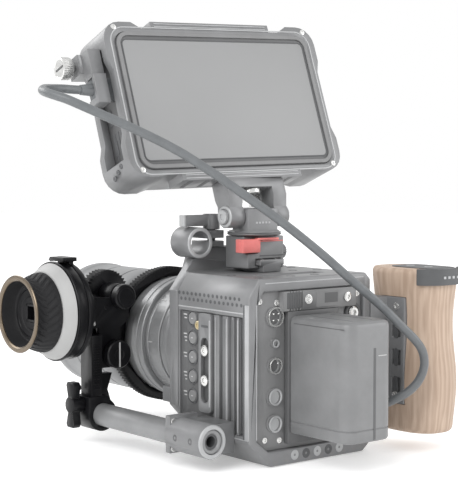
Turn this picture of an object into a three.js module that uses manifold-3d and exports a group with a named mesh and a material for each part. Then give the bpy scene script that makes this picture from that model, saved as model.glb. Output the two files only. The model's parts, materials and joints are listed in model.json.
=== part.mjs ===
// Cinema camera rig: a box camera in a cage, with a lens, follow focus, side rod, tilting monitor
// and wooden side grip.
// Millimetres. +X is the camera's right, +Y the way the lens looks, +Z up.
// The origin is on the cage's bottom face, on the lens's vertical plane.

import * as THREE from 'three';
import { mergeVertices } from 'three/addons/utils/BufferGeometryUtils.js';
import Module from 'manifold-3d';

const wasm = await Module();
wasm.setup();

// ---------- driving dimensions ----------

const GAP = 0.3;                       // clearance between touching pieces

const CAGE_HALF_WIDTH = 50.4;
const CAGE_REAR = -47;
const CAGE_FRONT = 24.7;
const CAGE_HEIGHT = 115.4;
const CAGE_WALL = 6.3;
const CAGE_FLOOR = 9.5;
const CAGE_ROOF = 8;

const ARCH_REAR = 25;
const ARCH_FRONT = 41.5;
const ARCH_TOP = 130.5;
const ARCH_TOP_HALF = 30;

const TOP_CLAMP_X = -34.5;
const TOP_CLAMP_Z = 134;
const TOP_CLAMP_RADIUS = 10;

const LENS_AXIS_Z = 65.5;
const LENS_REAR = ARCH_FRONT + 8.6;
const FOCUS_REAR = 90.4;
const FOCUS_FRONT = 118;
const LENS_FRONT = 190;

const GEAR_MODULE = 0.8;
const LENS_GEAR_TEETH = 116;
const DRIVE_GEAR_TEETH = 40;
const GEAR_CENTRE_Y = 104;
const GEAR_DISTANCE = (LENS_GEAR_TEETH + DRIVE_GEAR_TEETH) * GEAR_MODULE / 2 + 0.05;
const GEAR_ANGLE = THREE.MathUtils.degToRad(150.5);   // where the drive gear meets the lens gear

const WHEEL_Y = 92;
const WHEEL_Z = 88.5;

const ROD_X = -71.3;
const ROD_Z = 18.8;
const ROD_RADIUS = 7.5;

const BUTTON_PITCH = 12.3;
const BUTTON_TOP_Z = 87.5;
const BUTTON_Y = 10.2;

const TILT_AXIS = new THREE.Vector3(-2, 7, 151);
const MONITOR_TILT = THREE.MathUtils.degToRad(19.6);
const MONITOR_TWIST = THREE.MathUtils.degToRad(-4.5);
const MONITOR_X = -7.3;                // the screen's centre, in the tilted frame
const MONITOR_Z = 77;
const HOUSING_HALF_WIDTH = 75.2;
const HOUSING_HALF_HEIGHT = 45.8;
const HOUSING_FRONT = -9.7;
const HOUSING_DEPTH = 29.7;

const BATTERY_HALF_WIDTH = 19.2;
const BATTERY_REAR = -99.7;
const BATTERY_FRONT = -49;
const BATTERY_BOTTOM = 19.3;
const BATTERY_TOP = 91.7;

const CABLE_RADIUS = 2.75;

// ---------- finishes ----------

const finish = (color, roughness, metalness = 0) =>
  new THREE.MeshStandardMaterial({ color, roughness, metalness });
const CAGE_GREY = finish(0x8e9092, 0.45, 0.6);
const BODY_GREY = finish(0x8a8c8e, 0.6, 0.2);
const LENS_GREY = finish(0x9a9c9e, 0.5, 0.4);
const BLACK = finish(0x161616, 0.5, 0.1);
const RUBBER_BLACK = finish(0x1b1b1b, 0.85);
const STEEL = finish(0xc8c8c8, 0.3, 1);
const RED = finish(0xd87878, 0.5, 0.2);
const WOOD = finish(0xc9ab92, 0.6);
const GLASS = finish(0xa2a3a4, 0.15, 0.1);
const WHITE = finish(0xd6d6d6, 0.5);
const GREEN = finish(0x2f6b46, 0.6);
const CABLE_GREY = finish(0x85888a, 0.7);

// ---------- making and cutting closed solids ----------

/** One closed geometry with shared vertices, no empty triangles, and its faces pointing out. */
function closed(geometry) {
  geometry.deleteAttribute('normal');
  geometry.deleteAttribute('uv');
  const merged = mergeVertices(geometry, 1e-3);
  const at = merged.attributes.position;
  const index = merged.index.array;
  const corner = [new THREE.Vector3(), new THREE.Vector3(), new THREE.Vector3()];
  const kept = [];
  let volume = 0;
  for (let i = 0; i < index.length; i += 3) {
    const [a, b, c] = [index[i], index[i + 1], index[i + 2]];
    if (a === b || b === c || c === a) continue;
    [a, b, c].forEach((v, k) => corner[k].fromBufferAttribute(at, v));
    volume += corner[0].dot(corner[1].clone().cross(corner[2]));
    kept.push(a, b, c);
  }
  if (volume < 0) kept.reverse();
  merged.setIndex(kept);
  return merged;
}

function toSolid(geometry) {
  const tidy = closed(geometry);
  return new wasm.Manifold(new wasm.Mesh({
    numProp: 3,
    vertProperties: new Float32Array(tidy.attributes.position.array),
    triVerts: new Uint32Array(tidy.index.array),
  }));
}

function toGeometry(solid) {
  const mesh = solid.getMesh();
  const geometry = new THREE.BufferGeometry();
  geometry.setAttribute('position', new THREE.BufferAttribute(mesh.vertProperties, 3));
  geometry.setIndex(new THREE.BufferAttribute(mesh.triVerts, 1));
  return geometry;
}

function join(...parts) {
  return toGeometry(parts.map(toSolid).reduce((all, part) => all.add(part)));
}

function cut(base, ...tools) {
  return toGeometry(tools.map(toSolid).reduce((left, tool) => left.subtract(tool), toSolid(base)));
}

/** A block from its lowest to its highest corner. */
function block([x0, x1], [y0, y1], [z0, z1]) {
  return new THREE.BoxGeometry(x1 - x0, y1 - y0, z1 - z0)
    .translate((x0 + x1) / 2, (y0 + y1) / 2, (z0 + z1) / 2);
}

/** Turns a geometry made about +Y so that its axis is the named one. */
function aim(geometry, axis) {
  if (axis === 'x') geometry.rotateZ(-Math.PI / 2);
  if (axis === 'z') geometry.rotateX(Math.PI / 2);
  return geometry;
}

/** A turned solid: profile is [radius, distance along the axis] pairs, and closes itself off the axis. */
function turned(profile, axis = 'y', segments = 24) {
  const points = profile.map(([radius, along]) => new THREE.Vector2(radius, along));
  const onAxis = profile[0][0] === 0 && profile.at(-1)[0] === 0;
  if (!onAxis) points.push(points[0].clone());
  return aim(new THREE.LatheGeometry(points, segments), axis);
}

/** A round bar between two distances along its axis, with its centre line at the place given. */
function bar(radius, [from, to], axis, place = [0, 0, 0], segments = 16) {
  return turned([[0, from], [radius, from], [radius, to], [0, to]], axis, segments).translate(...place);
}

function tube(outer, inner, [from, to], axis, place = [0, 0, 0], segments = 24) {
  return turned([[inner, from], [outer, from], [outer, to], [inner, to]], axis, segments).translate(...place);
}

function outline(points) {
  return new THREE.Shape(points.map(([x, y]) => new THREE.Vector2(x, y)));
}

function roundedRectangle(halfWidth, halfHeight, radius, x = 0, y = 0) {
  const shape = new THREE.Shape();
  const [left, right, low, high] = [x - halfWidth, x + halfWidth, y - halfHeight, y + halfHeight];
  shape.moveTo(left + radius, low);
  shape.lineTo(right - radius, low);
  shape.absarc(right - radius, low + radius, radius, -Math.PI / 2, 0);
  shape.lineTo(right, high - radius);
  shape.absarc(right - radius, high - radius, radius, 0, Math.PI / 2);
  shape.lineTo(left + radius, high);
  shape.absarc(left + radius, high - radius, radius, Math.PI / 2, Math.PI);
  shape.lineTo(left, low + radius);
  shape.absarc(left + radius, low + radius, radius, Math.PI, Math.PI * 1.5);
  return shape;
}

const extrude = (shape, depth, curveSegments = 4) =>
  new THREE.ExtrudeGeometry(shape, { depth, bevelEnabled: false, curveSegments });

/** A plate with an outline in X and Z, from y0 to y1. */
const plateXZ = (shape, [y0, y1], curveSegments) =>
  extrude(shape, y1 - y0, curveSegments).rotateX(Math.PI / 2).translate(0, y1, 0);

/** A plate with an outline in X and Y, from z0 to z1. */
const plateXY = (shape, [z0, z1], curveSegments) =>
  extrude(shape, z1 - z0, curveSegments).translate(0, 0, z0);

/** A plate with an outline in Y and Z, from x0 to x1. */
const plateYZ = (shape, [x0, x1], curveSegments) =>
  extrude(shape, x1 - x0, curveSegments).rotateY(Math.PI / 2).rotateX(Math.PI / 2).translate(x0, 0, 0);

/** A spur gear about +Y with straight-sided teeth, one of them centred on the angle given in the XZ plane. */
function spurGear(teeth, boreRadius, [from, to], toothAngle) {
  const pitchRadius = teeth * GEAR_MODULE / 2;
  const [addendum, dedendum] = [0.7, 0.9];
  const [tipHalf, rootHalf] = [0.24, 0.8];
  const shape = new THREE.Shape();
  for (let tooth = 0; tooth < teeth; tooth++) {
    const middle = toothAngle + tooth * 2 * Math.PI / teeth;
    const corners = [
      [-rootHalf, -dedendum], [-tipHalf, addendum], [tipHalf, addendum], [rootHalf, -dedendum],
    ];
    corners.forEach(([half, height], corner) => {
      const radius = pitchRadius + height;
      const angle = middle + half / radius;
      const [x, z] = [radius * Math.cos(angle), radius * Math.sin(angle)];
      if (tooth + corner === 0) shape.moveTo(x, z);
      else shape.lineTo(x, z);
    });
  }
  shape.closePath();
  const hole = new THREE.Path();
  hole.absarc(0, 0, boreRadius, 0, 2 * Math.PI, true);
  shape.holes.push(hole);
  return plateXZ(shape, [from, to], 14);
}

/** A solid lofted through rings of points with the same count, closed at both ends. */
function loft(rings) {
  const count = rings[0].length;
  const position = rings.flat(2);
  const index = [];
  for (let ring = 0; ring < rings.length - 1; ring++) {
    for (let i = 0; i < count; i++) {
      const [a, b] = [ring * count + i, ring * count + (i + 1) % count];
      index.push(a, b, b + count, a, b + count, a + count);
    }
  }
  const last = (rings.length - 1) * count;
  for (let i = 1; i < count - 1; i++) {
    index.push(0, i + 1, i, last, last + i, last + i + 1);
  }
  const geometry = new THREE.BufferGeometry();
  geometry.setAttribute('position', new THREE.Float32BufferAttribute(position, 3));
  geometry.setIndex(index);
  return geometry;
}

/** Adds a named piece to a group. */
function add(parent, name, geometry, material, place = [0, 0, 0]) {
  const mesh = new THREE.Mesh(closed(geometry), material);
  mesh.name = name;
  mesh.position.set(...place);
  parent.add(mesh);
}

const rig = new THREE.Group();

// ---------- cage ----------

const CAGE_OUTLINE = [
  [-33.3, 0], [44.4, 0], [CAGE_HALF_WIDTH, 5], [CAGE_HALF_WIDTH, 111], [46, CAGE_HEIGHT],
  [-43, CAGE_HEIGHT], [-CAGE_HALF_WIDTH, 104.4], [-CAGE_HALF_WIDTH, 15.6],
];
const CAGE_INSIDE = CAGE_HALF_WIDTH - CAGE_WALL;
const CAGE_CEILING = CAGE_HEIGHT - CAGE_ROOF;
const CAGE_OPENING = [
  [-35, CAGE_FLOOR], [CAGE_INSIDE, CAGE_FLOOR], [CAGE_INSIDE, CAGE_CEILING],
  [-39, CAGE_CEILING], [-CAGE_INSIDE, 99], [-CAGE_INSIDE, 17],
];
const TRIPOD_HOLES = [[-12, -22], [12, -22], [0, -34], [-12, 12], [12, 12]];   // x, y
const WINDOW_Z = [20, 92];
const WINDOW_Y = [-40, 23];

function cageFrame() {
  const shape = outline(CAGE_OUTLINE);
  shape.holes.push(new THREE.Path(CAGE_OPENING.map(([x, z]) => new THREE.Vector2(x, z))));
  const tripodHoles = TRIPOD_HOLES.map(([x, y]) => bar(2.6, [-1, CAGE_FLOOR + 1], 'z', [x, y, 0], 12));
  return cut(
    plateXZ(shape, [CAGE_REAR, CAGE_FRONT]),
    block([-60, -CAGE_INSIDE + 1], WINDOW_Y, WINDOW_Z),
    block([CAGE_INSIDE - 1, 60], [-33, 16], [26, 90]),
    block([-26, 26], [-30, -19], [CAGE_CEILING - 1, CAGE_HEIGHT + 1]),
    block([-30, -18], [-38, 20], [-1, CAGE_FLOOR + 1]),
    block([18, 30], [-38, 20], [-1, CAGE_FLOOR + 1]),
    ...tripodHoles,
  );
}

/** The front block: a shaped rear plate, a round boss about the lens, two feet and the hump over the lens. */
function frontArch() {
  const side = CAGE_HALF_WIDTH;
  const front = [33, ARCH_FRONT];
  const hump = [[ARCH_TOP_HALF, ARCH_TOP], [-ARCH_TOP_HALF, ARCH_TOP]];
  const plate = outline([[-38, 17], [38, 17], [side, 30], [side, 105], ...hump, [-side, 104], [-side, 30]]);
  return cut(
    join(
      plateXZ(plate, [ARCH_REAR, 34]),
      bar(47.5, front, 'y', [0, 0, LENS_AXIS_Z], 36),
      plateXZ(outline([[-40, 100], [40, 100], ...hump]), front),
      block([-side, side], front, [31, 41]),
    ),
    bar(34, [ARCH_REAR - 1, ARCH_FRONT + 1], 'y', [0, 0, LENS_AXIS_Z], 32),
    block([-60, 60], [ARCH_REAR - 1, 28], [CAGE_HEIGHT + GAP, 140]),
    bar(TOP_CLAMP_RADIUS + GAP, [ARCH_REAR, ARCH_FRONT + 1], 'y', [TOP_CLAMP_X, 0, TOP_CLAMP_Z], 32),
  );
}

function natoRail() {
  return join(
    block([-7.4, 7.4], [-9, 22], [CAGE_HEIGHT + GAP, 120.5]),
    block([-10, 10], [-9, 22], [120, 123.5]),
  );
}

// ---------- camera inside the cage ----------

const BODY_HALF = CAGE_INSIDE - GAP;
const BODY_LOW = CAGE_FLOOR + GAP;
const BODY_HIGH = CAGE_CEILING - GAP;
const PANEL_REAR = -44.5;
const PANEL_FRONT = -41.5;

function bodyOutline(inset = 0) {
  const [side, low, high] = [BODY_HALF - inset, BODY_LOW + inset, BODY_HIGH - inset];
  return outline([[-34.5 + inset, low], [side, low], [side, high], [-38.5, high], [-side, 98], [-side, 17.6]]);
}

function cameraShell() {
  return cut(
    plateXZ(bodyOutline(), [PANEL_FRONT + GAP, CAGE_FRONT]),
    plateXZ(bodyOutline(2.4), [PANEL_FRONT - 1, CAGE_FRONT - 3]),
    bar(30, [CAGE_FRONT - 5, CAGE_FRONT + 1], 'y', [0, 0, LENS_AXIS_Z], 24),
  );
}

const SOCKETS = [[91.8, 6], [76, 2.5], [62, 5], [42.7, 5.5], [26.3, 5.5]];   // height, radius
const SOCKET_X = -30;
const CABLE_SOCKET = [33, 33];                                               // x, z

function rearPanel() {
  const rims = SOCKETS.map(([z, radius]) =>
    tube(radius, radius - 1.2, [PANEL_REAR - 1, PANEL_REAR + 1], 'y', [SOCKET_X, 0, z], 12));
  const sockets = SOCKETS.map(([z, radius]) =>
    bar(radius - 1.2, [PANEL_REAR - 1, PANEL_REAR + 1.8], 'y', [SOCKET_X, 0, z], 12));
  const [cableX, cableZ] = CABLE_SOCKET;
  const topBar = block([-25, 36], [-48.6, PANEL_REAR + 1], [95, 107]);
  const padGrooves = [0, 1, 2, 3, 4].map((groove) =>
    block([-20 + groove * 2.4, -18.8 + groove * 2.4], [-50, -47.6], [94, 108]));
  const panel = join(plateXZ(bodyOutline(), [PANEL_REAR, PANEL_FRONT]), topBar, ...rims);
  return cut(panel, ...sockets.slice(0, 3), ...padGrooves,
    block([cableX - 4.5, cableX + 4.5], [PANEL_REAR - 1, PANEL_REAR + 2], [cableZ - 7.5, cableZ + 7.5]));
}

function sidePanel() {
  const holes = [0, 1, 2, 3, 4].map((button) =>
    bar(4.3, [-60, -40], 'x', [0, BUTTON_Y, BUTTON_TOP_Z - button * BUTTON_PITCH], 14));
  return cut(
    block([-49.4, -46.6], [-10.7, WINDOW_Y[1] - GAP], [WINDOW_Z[0] + GAP, WINDOW_Z[1] - GAP]),
    ...holes,
  );
}

function heatSink() {
  const z = [WINDOW_Z[0] + GAP, WINDOW_Z[1] - GAP];
  const fins = [[-17.5, -12], [-26.3, -20.9], [-31.6, -29.6], [-36.6, -34.6]]
    .map((y) => block([-50.3, -46], y, z));
  return join(block([-46.6, -BODY_HALF - GAP], [WINDOW_Y[0] + GAP, -11.2], z), ...fins);
}

function locatingPlate() {
  const slot = roundedRectangle(3.9, 20.5, 3.8, -5.4, 56.4);
  const shape = roundedRectangle(6.2, 31, 2.5, -5.4, 61);
  shape.holes.push(slot);
  return plateYZ(shape, [-52.3, -49.7]);
}

function sensorBoard() {
  return join(
    block([-30, 30], [-6, -4], [LENS_AXIS_Z - 27, LENS_AXIS_Z + 27]),
    block([-14, 14], [-4.5, -0.5], [LENS_AXIS_Z - 11, LENS_AXIS_Z + 11]),
  );
}

const mainBoard = () => join(
  block([-36, 36], [-22, -20], [20, 96]),
  block([-16, 4], [-20.5, -16], [48, 68]),
  block([12, 24], [-20.5, -17], [70, 84]),
);

function lensMount() {
  return turned([[27, 0], [46, 0], [46, 5], [42, 8.3], [27, 8.3]], 'y', 32);
}

function addCamera() {
  add(rig, 'cage_frame', cageFrame(), CAGE_GREY);
  add(rig, 'cage_front_arch', frontArch(), CAGE_GREY);
  add(rig, 'top_nato_rail', natoRail(), CAGE_GREY);
  add(rig, 'camera_shell', cameraShell(), BODY_GREY);
  add(rig, 'rear_panel', rearPanel(), BODY_GREY);
  add(rig, 'side_panel', sidePanel(), BODY_GREY);
  add(rig, 'heat_sink', heatSink(), CAGE_GREY);
  add(rig, 'locating_plate', locatingPlate(), CAGE_GREY);
  add(rig, 'sensor_board', sensorBoard(), GREEN);
  add(rig, 'main_board', mainBoard(), GREEN);
  add(rig, 'lens_mount_ring', lensMount(), STEEL, [0, ARCH_FRONT, LENS_AXIS_Z]);
  ['one', 'two', 'three', 'record', 'power'].forEach((name, button) => {
    const z = BUTTON_TOP_Z - button * BUTTON_PITCH;
    add(rig, `button_${name}`, bar(4, [-50.1, -45.6], 'x'), BODY_GREY, [0, BUTTON_Y, z]);
  });
}

// ---------- battery ----------

function batteryCase() {
  const half = BATTERY_HALF_WIDTH;
  const shape = new THREE.Shape();
  const round = 7;
  shape.moveTo(-half, BATTERY_FRONT);
  shape.lineTo(-half, BATTERY_REAR + round);
  shape.absarc(-half + round, BATTERY_REAR + round, round, Math.PI, Math.PI * 1.5);
  shape.lineTo(half - round, BATTERY_REAR);
  shape.absarc(half - round, BATTERY_REAR + round, round, -Math.PI / 2, 0);
  shape.lineTo(half, BATTERY_FRONT);
  return cut(
    plateXY(shape, [BATTERY_BOTTOM, BATTERY_TOP], 8),
    block([-half + 1.1, half - 1.1], [BATTERY_REAR + 5.5, BATTERY_FRONT + 1],
      [BATTERY_BOTTOM + 2, BATTERY_TOP - 2]),
    block([2.3, 3.5], [BATTERY_REAR - 1, BATTERY_REAR + 1], [BATTERY_BOTTOM - 1, 75.8]),
  );
}

function batteryCells() {
  const [low, high] = [BATTERY_BOTTOM + 3, BATTERY_TOP - 3];
  const cells = [-83, -65].flatMap((y) => [-8.95, 8.95].map((x) => bar(8.9, [low, high], 'z', [x, y, 0], 12)));
  return join(block([-16, 16], [-83, -65], [low + 2, low + 4]),
    block([-16, 16], [-83, -65], [high - 4, high - 2]), ...cells);
}

function batteryPlate() {
  return cut(
    block([-21, 21], [-48.7, PANEL_REAR - GAP], [13, 94.7]),
    block([-6.3, 6.3], [-50, -46.5], [79.7, 91.3]),
    block([-4.3, 4.3], [-50, -40], [81.7, 89.3]),
  );
}

function addBattery() {
  add(rig, 'battery_plate', batteryPlate(), BODY_GREY);
  add(rig, 'battery_case', batteryCase(), BODY_GREY);
  add(rig, 'battery_cells', batteryCells(), GREEN);
  add(rig, 'battery_latch', block([-6, 6], [-48.6, -46.8], [80, 89]), BODY_GREY);
}

// ---------- side rod ----------

function rodBracket() {
  const y = [-37, -3];
  const shell = join(
    bar(10.6, y, 'y', [ROD_X, 0, ROD_Z], 28),
    block([ROD_X, -CAGE_HALF_WIDTH - GAP], [-33, -5], [9.4, 28]),
    block([-80, -CAGE_HALF_WIDTH - GAP - 8], [-6.5, -2], [8, 31]),
  );
  return cut(shell, bar(ROD_RADIUS + 0.1, [-60, 60], 'y', [ROD_X, 0, ROD_Z], 28));
}

function addRod() {
  add(rig, 'rod', tube(ROD_RADIUS, 4.8, [-37, 108], 'y', [0, 0, 0], 28), LENS_GREY, [ROD_X, 0, ROD_Z]);
  add(rig, 'rod_bracket', rodBracket(), CAGE_GREY);
}

// ---------- lens ----------

function lensBarrel() {
  return turned([
    [26, LENS_REAR], [38, LENS_REAR], [38, 62], [36, 62], [36, 78], [41.5, 78], [41.5, 90],
    [37.6, 90], [37.6, 124], [26, 124],
  ], 'y', 32);
}

const focusRing = () => tube(40, 37.9, [FOCUS_REAR, FOCUS_FRONT], 'y', [0, 0, 0], 32);
const irisRing = () => tube(38.8, 36.3, [62.4, 77.6], 'y', [0, 0, 0], 32);

function frontBarrel() {
  return turned([
    [38, 118.4], [42, 118.4], [43.5, 121], [43.5, 181], [44.6, 183], [44.6, LENS_FRONT], [41, LENS_FRONT],
    [39.5, 170], [36, 162.3], [36, 149], [38, 149],
  ], 'y', 32);
}

const lens = (radius, from, edge, bulge) =>
  turned([[0, from], [radius * 0.6, from + bulge * 0.36], [radius, from + bulge],
    [radius, from + bulge + edge], [radius * 0.6, from + bulge * 1.64 + edge],
    [0, from + bulge * 2 + edge]], 'y', 24);

function addLens() {
  const optics = new THREE.Group();
  optics.position.z = LENS_AXIS_Z;
  rig.add(optics);
  add(optics, 'lens_barrel', lensBarrel(), LENS_GREY);
  add(optics, 'lens_iris_ring', irisRing(), LENS_GREY);
  add(optics, 'lens_focus_ring', focusRing(), LENS_GREY);
  add(optics, 'lens_gear_ring', spurGear(LENS_GEAR_TEETH, 40.3, [-4.5, 4.5], GEAR_ANGLE), BLACK,
    [0, GEAR_CENTRE_Y, 0]);
  add(optics, 'lens_front_barrel', frontBarrel(), LENS_GREY);
  add(optics, 'lens_front_glass', lens(35.7, 150, 3, 4), GLASS);
}

// ---------- follow focus ----------

const DRIVE_X = GEAR_DISTANCE * Math.cos(GEAR_ANGLE);
const DRIVE_Z = LENS_AXIS_Z + GEAR_DISTANCE * Math.sin(GEAR_ANGLE);
const BOX_REAR = 84;
const BOX_FRONT = 97.6;

function gearbox() {
  const y = [BOX_REAR, BOX_FRONT];
  const body = join(
    plateXZ(outline([[-78, 76], [-53, 76], [-47.6, 81], [-47.6, 94], [-78, 97]]), y),
    bar(8.4, y, 'y', [DRIVE_X, 0, DRIVE_Z]),
    bar(13.5, [-90.2, -77], 'x', [0, WHEEL_Y, WHEEL_Z], 28),
    block([-87, -83.5], [80, 104], [74.4, 101]),
    block([-71.2, -54], [BOX_REAR + 0.5, BOX_FRONT + 1.4], [49, 77]),
  );
  return cut(
    body,
    bar(3.3, [-100, -52], 'x', [0, WHEEL_Y, WHEEL_Z], 16),
    bar(4.6, [-61, -49.5], 'x', [0, WHEEL_Y, WHEEL_Z], 16),
    bar(3.3, [BOX_REAR - 2, BOX_FRONT + 2], 'y', [DRIVE_X, 0, DRIVE_Z], 16),
    bar(4.6, [WHEEL_Y - 4, WHEEL_Y + 4], 'y', [DRIVE_X, 0, DRIVE_Z], 16),
    block([-71.4, -68.2], [BOX_REAR + 3.7, BOX_FRONT - 2.8], [48, 78]),
    bar(2.3, [BOX_REAR, BOX_REAR + 5], 'y', [-59.5, 0, 58], 12),
  );
}

function driveShaft() {
  return join(
    bar(3, [82, 110.5], 'y', [0, 0, 0], 16),
    bar(3.7, [WHEEL_Y - 3.6, WHEEL_Y + 3.6], 'y', [0, 0, 0], 16),
    turned([[0, 77], [7.4, 77], [8.3, 78], [8.3, 82.5], [7.4, 83.5], [0, 83.5]], 'y', 24),
  );
}

function wheelShaft() {
  return join(
    bar(3, [-107, -52.3], 'x', [0, 0, 0], 16),
    bar(3.7, [-60.6, -50], 'x', [0, 0, 0], 16),
    turned([[0, -102.2], [32, -102.2], [32, -94.8], [0, -94.8]], 'x', 28),
  );
}

/** The hand wheel about +X: rim at the far left, concave grip, deep round face with a square crank socket. */
function handWheel() {
  const grip = turned([
    [0, -110.6], [26, -110.6], [25.4, -113], [22.4, -117], [21.6, -120.5], [22.6, -124.5], [24.3, -128.2],
    [23.6, -128.8], [21.4, -128.8], [19.4, -121], [18.2, -119], [10.5, -118], [0, -118],
  ], 'x', 28);
  return cut(grip, block([-130, -112], [-4.2, 4.2], [-4.2, 4.2]));
}

function stopRing() {
  const hoop = tube(32, 15, [-94.4, -90.8], 'x', [0, 0, 0], 28);
  const post = block([-94.4, -91], [-8, 6], [27, 35.6]);
  const tip = outline([[-12, 33], [2, 33], [4, 32.6], [6, 33.6], [4, 35.6], [-12, 35.6]]);
  const pointer = plateYZ(tip, [-101.5, -91]);
  return join(hoop, post, pointer);
}

function markingDisc() {
  return turned([[3.4, -102.6], [31.5, -102.6], [26.6, -110.2], [3.4, -110.2]], 'x', 28);
}

const WING_SCREW_Y = 89;
const WING_SCREW_Z = 26;

function rodClamp() {
  const y = [80, 98];
  const body = join(
    bar(11, y, 'y', [ROD_X, 0, ROD_Z], 28),
    block([-82, -66], y, [ROD_Z, 31]),
    plateXZ(outline([[-66.5, 22], [-56, 22], [-59.5, 33], [-56, 44], [-68, 44], [-66.5, 36]]), [92, 98]),
  );
  return cut(
    body,
    bar(ROD_RADIUS + GAP, [70, 112], 'y', [ROD_X, 0, ROD_Z], 28),
    bar(2.6, [-90, -78.6], 'x', [0, WING_SCREW_Y, WING_SCREW_Z], 12),
  );
}

function slideArm() {
  return join(
    block([-80, -71.8], [80, 93], [31.3, 71.8]),
    block([-72, -68.5], [BOX_REAR + 4, BOX_FRONT - 3.1], [46, 71.8]),
  );
}

/** A butterfly screw about X: a hub with two paddles. */
function wingScrew() {
  const wing = [[-2.6, 3], [-4.4, 13], [-3, 15], [4, 15], [5.2, 13], [2.6, 3]];
  const upper = plateYZ(outline(wing), [-91, -85.5]);
  const lower = plateYZ(outline(wing.map(([y, z]) => [y, -z])), [-91, -85.5]);
  const boss = bar(5.4, [-91.8, -82.4], 'x', [0, 0, 0], 14);
  return join(boss, bar(2.3, [-84, -79], 'x', [0, 0, 0], 12), upper, lower);
}

function slideKnob() {
  return cut(
    join(
      turned([[0, 77], [8.6, 77], [9.4, 77.8], [9.4, 83], [8.6, 84.1], [0, 84.1]], 'y', 28),
      bar(2.1, [84, 88.6], 'y', [0, 0, 0], 12),
    ),
    block([-0.7, 0.7], [76, 78.2], [-20, 20]),
  );
}

function addFollowFocus() {
  const wheelLine = new THREE.Group();
  wheelLine.position.set(0, WHEEL_Y, WHEEL_Z);
  rig.add(wheelLine);
  add(rig, 'rod_clamp', rodClamp(), BLACK);
  add(rig, 'rod_clamp_wing_screw', wingScrew(), BLACK, [0, WING_SCREW_Y, WING_SCREW_Z]);
  add(rig, 'slide_arm', slideArm(), BLACK);
  add(rig, 'slide_knob', slideKnob(), BLACK, [-59.5, 0, 58]);
  add(rig, 'gearbox', gearbox(), BLACK);
  add(rig, 'drive_gear', spurGear(DRIVE_GEAR_TEETH, 3.3, [-5.5, 5.5],
    GEAR_ANGLE + Math.PI + Math.PI / DRIVE_GEAR_TEETH), BLACK, [DRIVE_X, GEAR_CENTRE_Y, DRIVE_Z]);
  add(rig, 'drive_shaft', driveShaft(), BLACK, [DRIVE_X, 0, DRIVE_Z]);
  add(wheelLine, 'wheel_shaft', wheelShaft(), BLACK);
  add(wheelLine, 'hand_wheel', handWheel(), RUBBER_BLACK);
  add(wheelLine, 'marking_disc', markingDisc(), WHITE);
  add(wheelLine, 'stop_ring', stopRing(), BLACK);
}

// ---------- top rod clamp ----------

function topRodClamp() {
  const [x, z] = [TOP_CLAMP_X, TOP_CLAMP_Z];
  const body = join(
    bar(TOP_CLAMP_RADIUS, [22, 41], 'y', [x, 0, z], 32),
    block([x, -12.5], [25, 38], [ARCH_TOP + GAP, z + 7.5]),
  );
  return cut(
    body,
    bar(ROD_RADIUS, [10, 50], 'y', [x, 0, z], 32),
    block([x, -10], [20, 44], [z + 0.6, z + 2.4]),
    bar(2.9, [z - 12, z + 12], 'z', [-18, 31.5, 0], 14),
  );
}

function clampLever() {
  return join(
    bar(2.6, [131.3, 143], 'z', [0, 0, 0], 14),
    bar(5.6, [142, 152], 'z', [0, 0, 0], 14),
    block([-24, 0], [-2.6, 2.6], [144.4, 151.6]),
  );
}

// ---------- monitor mount ----------

function natoClamp() {
  return cut(
    block([-17, 13], [-5, 18], [118, 138.4]),
    block([-7.8, 7.8], [-20, 30], [117, 121]),
    block([-10.4, 10.4], [-20, 30], [119.7, 123.9]),
    block([-18, -8.5], [-8, -0.5], [127.5, 138.5]),
  );
}

function natoLever() {
  return join(
    block([-24, -9.6], [-8.6, -1], [128.4, 137]),
    block([-12, 6], [-8.6, -5.4], [136, 137.6]),
  );
}

const natoKnob = () => join(
  bar(4, [14.6, 22.5], 'x', [0, 0, 0], 14),
  bar(2, [13.4, 15], 'x', [0, 0, 0], 12),
);

function swivelHead() {
  const [x, y, z] = TILT_AXIS;
  return join(
    turned([[0, 138.8], [17, 138.8], [17.4, 140], [16.4, 141.8], [0, 141.8]], 'z', 24).translate(x, y, 0),
    block([x - 12.5, x + 12.5], [y - 9, y + 7], [141.5, 156]),
    bar(4, [x - 26, x + 24], 'x', [0, y, z], 14),
    bar(5.2, [x - 26, x - 24.4], 'x', [0, y, z], 14),
  );
}

/** The tilting yoke, about the tilt axis: two arms, a bridge plate and the monitor screw. */
function tiltYoke() {
  const arm = outline([
    [-7.2, 0], [-6.2, -3.9], [-3.6, -6.5], [0, -7.4], [3.6, -6.5], [6.2, -3.9], [7.2, 0], [6.2, 4.2],
    [5.2, 8], [6.4, 12.5], [6.4, 20.5], [-8.6, 20.5], [-8.6, 12], [-6, 4.5],
  ]);
  const arms = [[-24, -13], [13, 24]].map((x) => plateYZ(arm, x));
  return cut(
    join(...arms, block([-24, 24], [-8.6, 6.4], [17.2, 23.1])),
    bar(4.3, [-30, 30], 'x', [0, 0, 0], 14),
    bar(3.4, [16, 25], 'z', [0, 0, 0], 14),
  );
}

function monitorScrew() {
  return join(
    turned([[0, 13.6], [7.6, 13.6], [7.6, 16.9], [0, 16.9]], 'z', 24),
    bar(3.1, [16, 30.9], 'z', [0, 0, 0], 12),
  );
}

// ---------- monitor ----------

/** One corner of the monitor cage's outline, its bumper standing out by the lift given. */
function bumperCorner(lift) {
  const arcCentre = [69.8, 37.5 + lift];
  const radius = 13;
  const corner = [[80.2, 20], [82.8, 28]];
  for (let step = 0; step <= 5; step++) {
    const angle = step * Math.PI / 10;
    corner.push([arcCentre[0] + radius * Math.cos(angle), arcCentre[1] + radius * Math.sin(angle)]);
  }
  corner.push([61, 50.5 + lift], [54, 48.5]);
  return corner;
}

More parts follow.
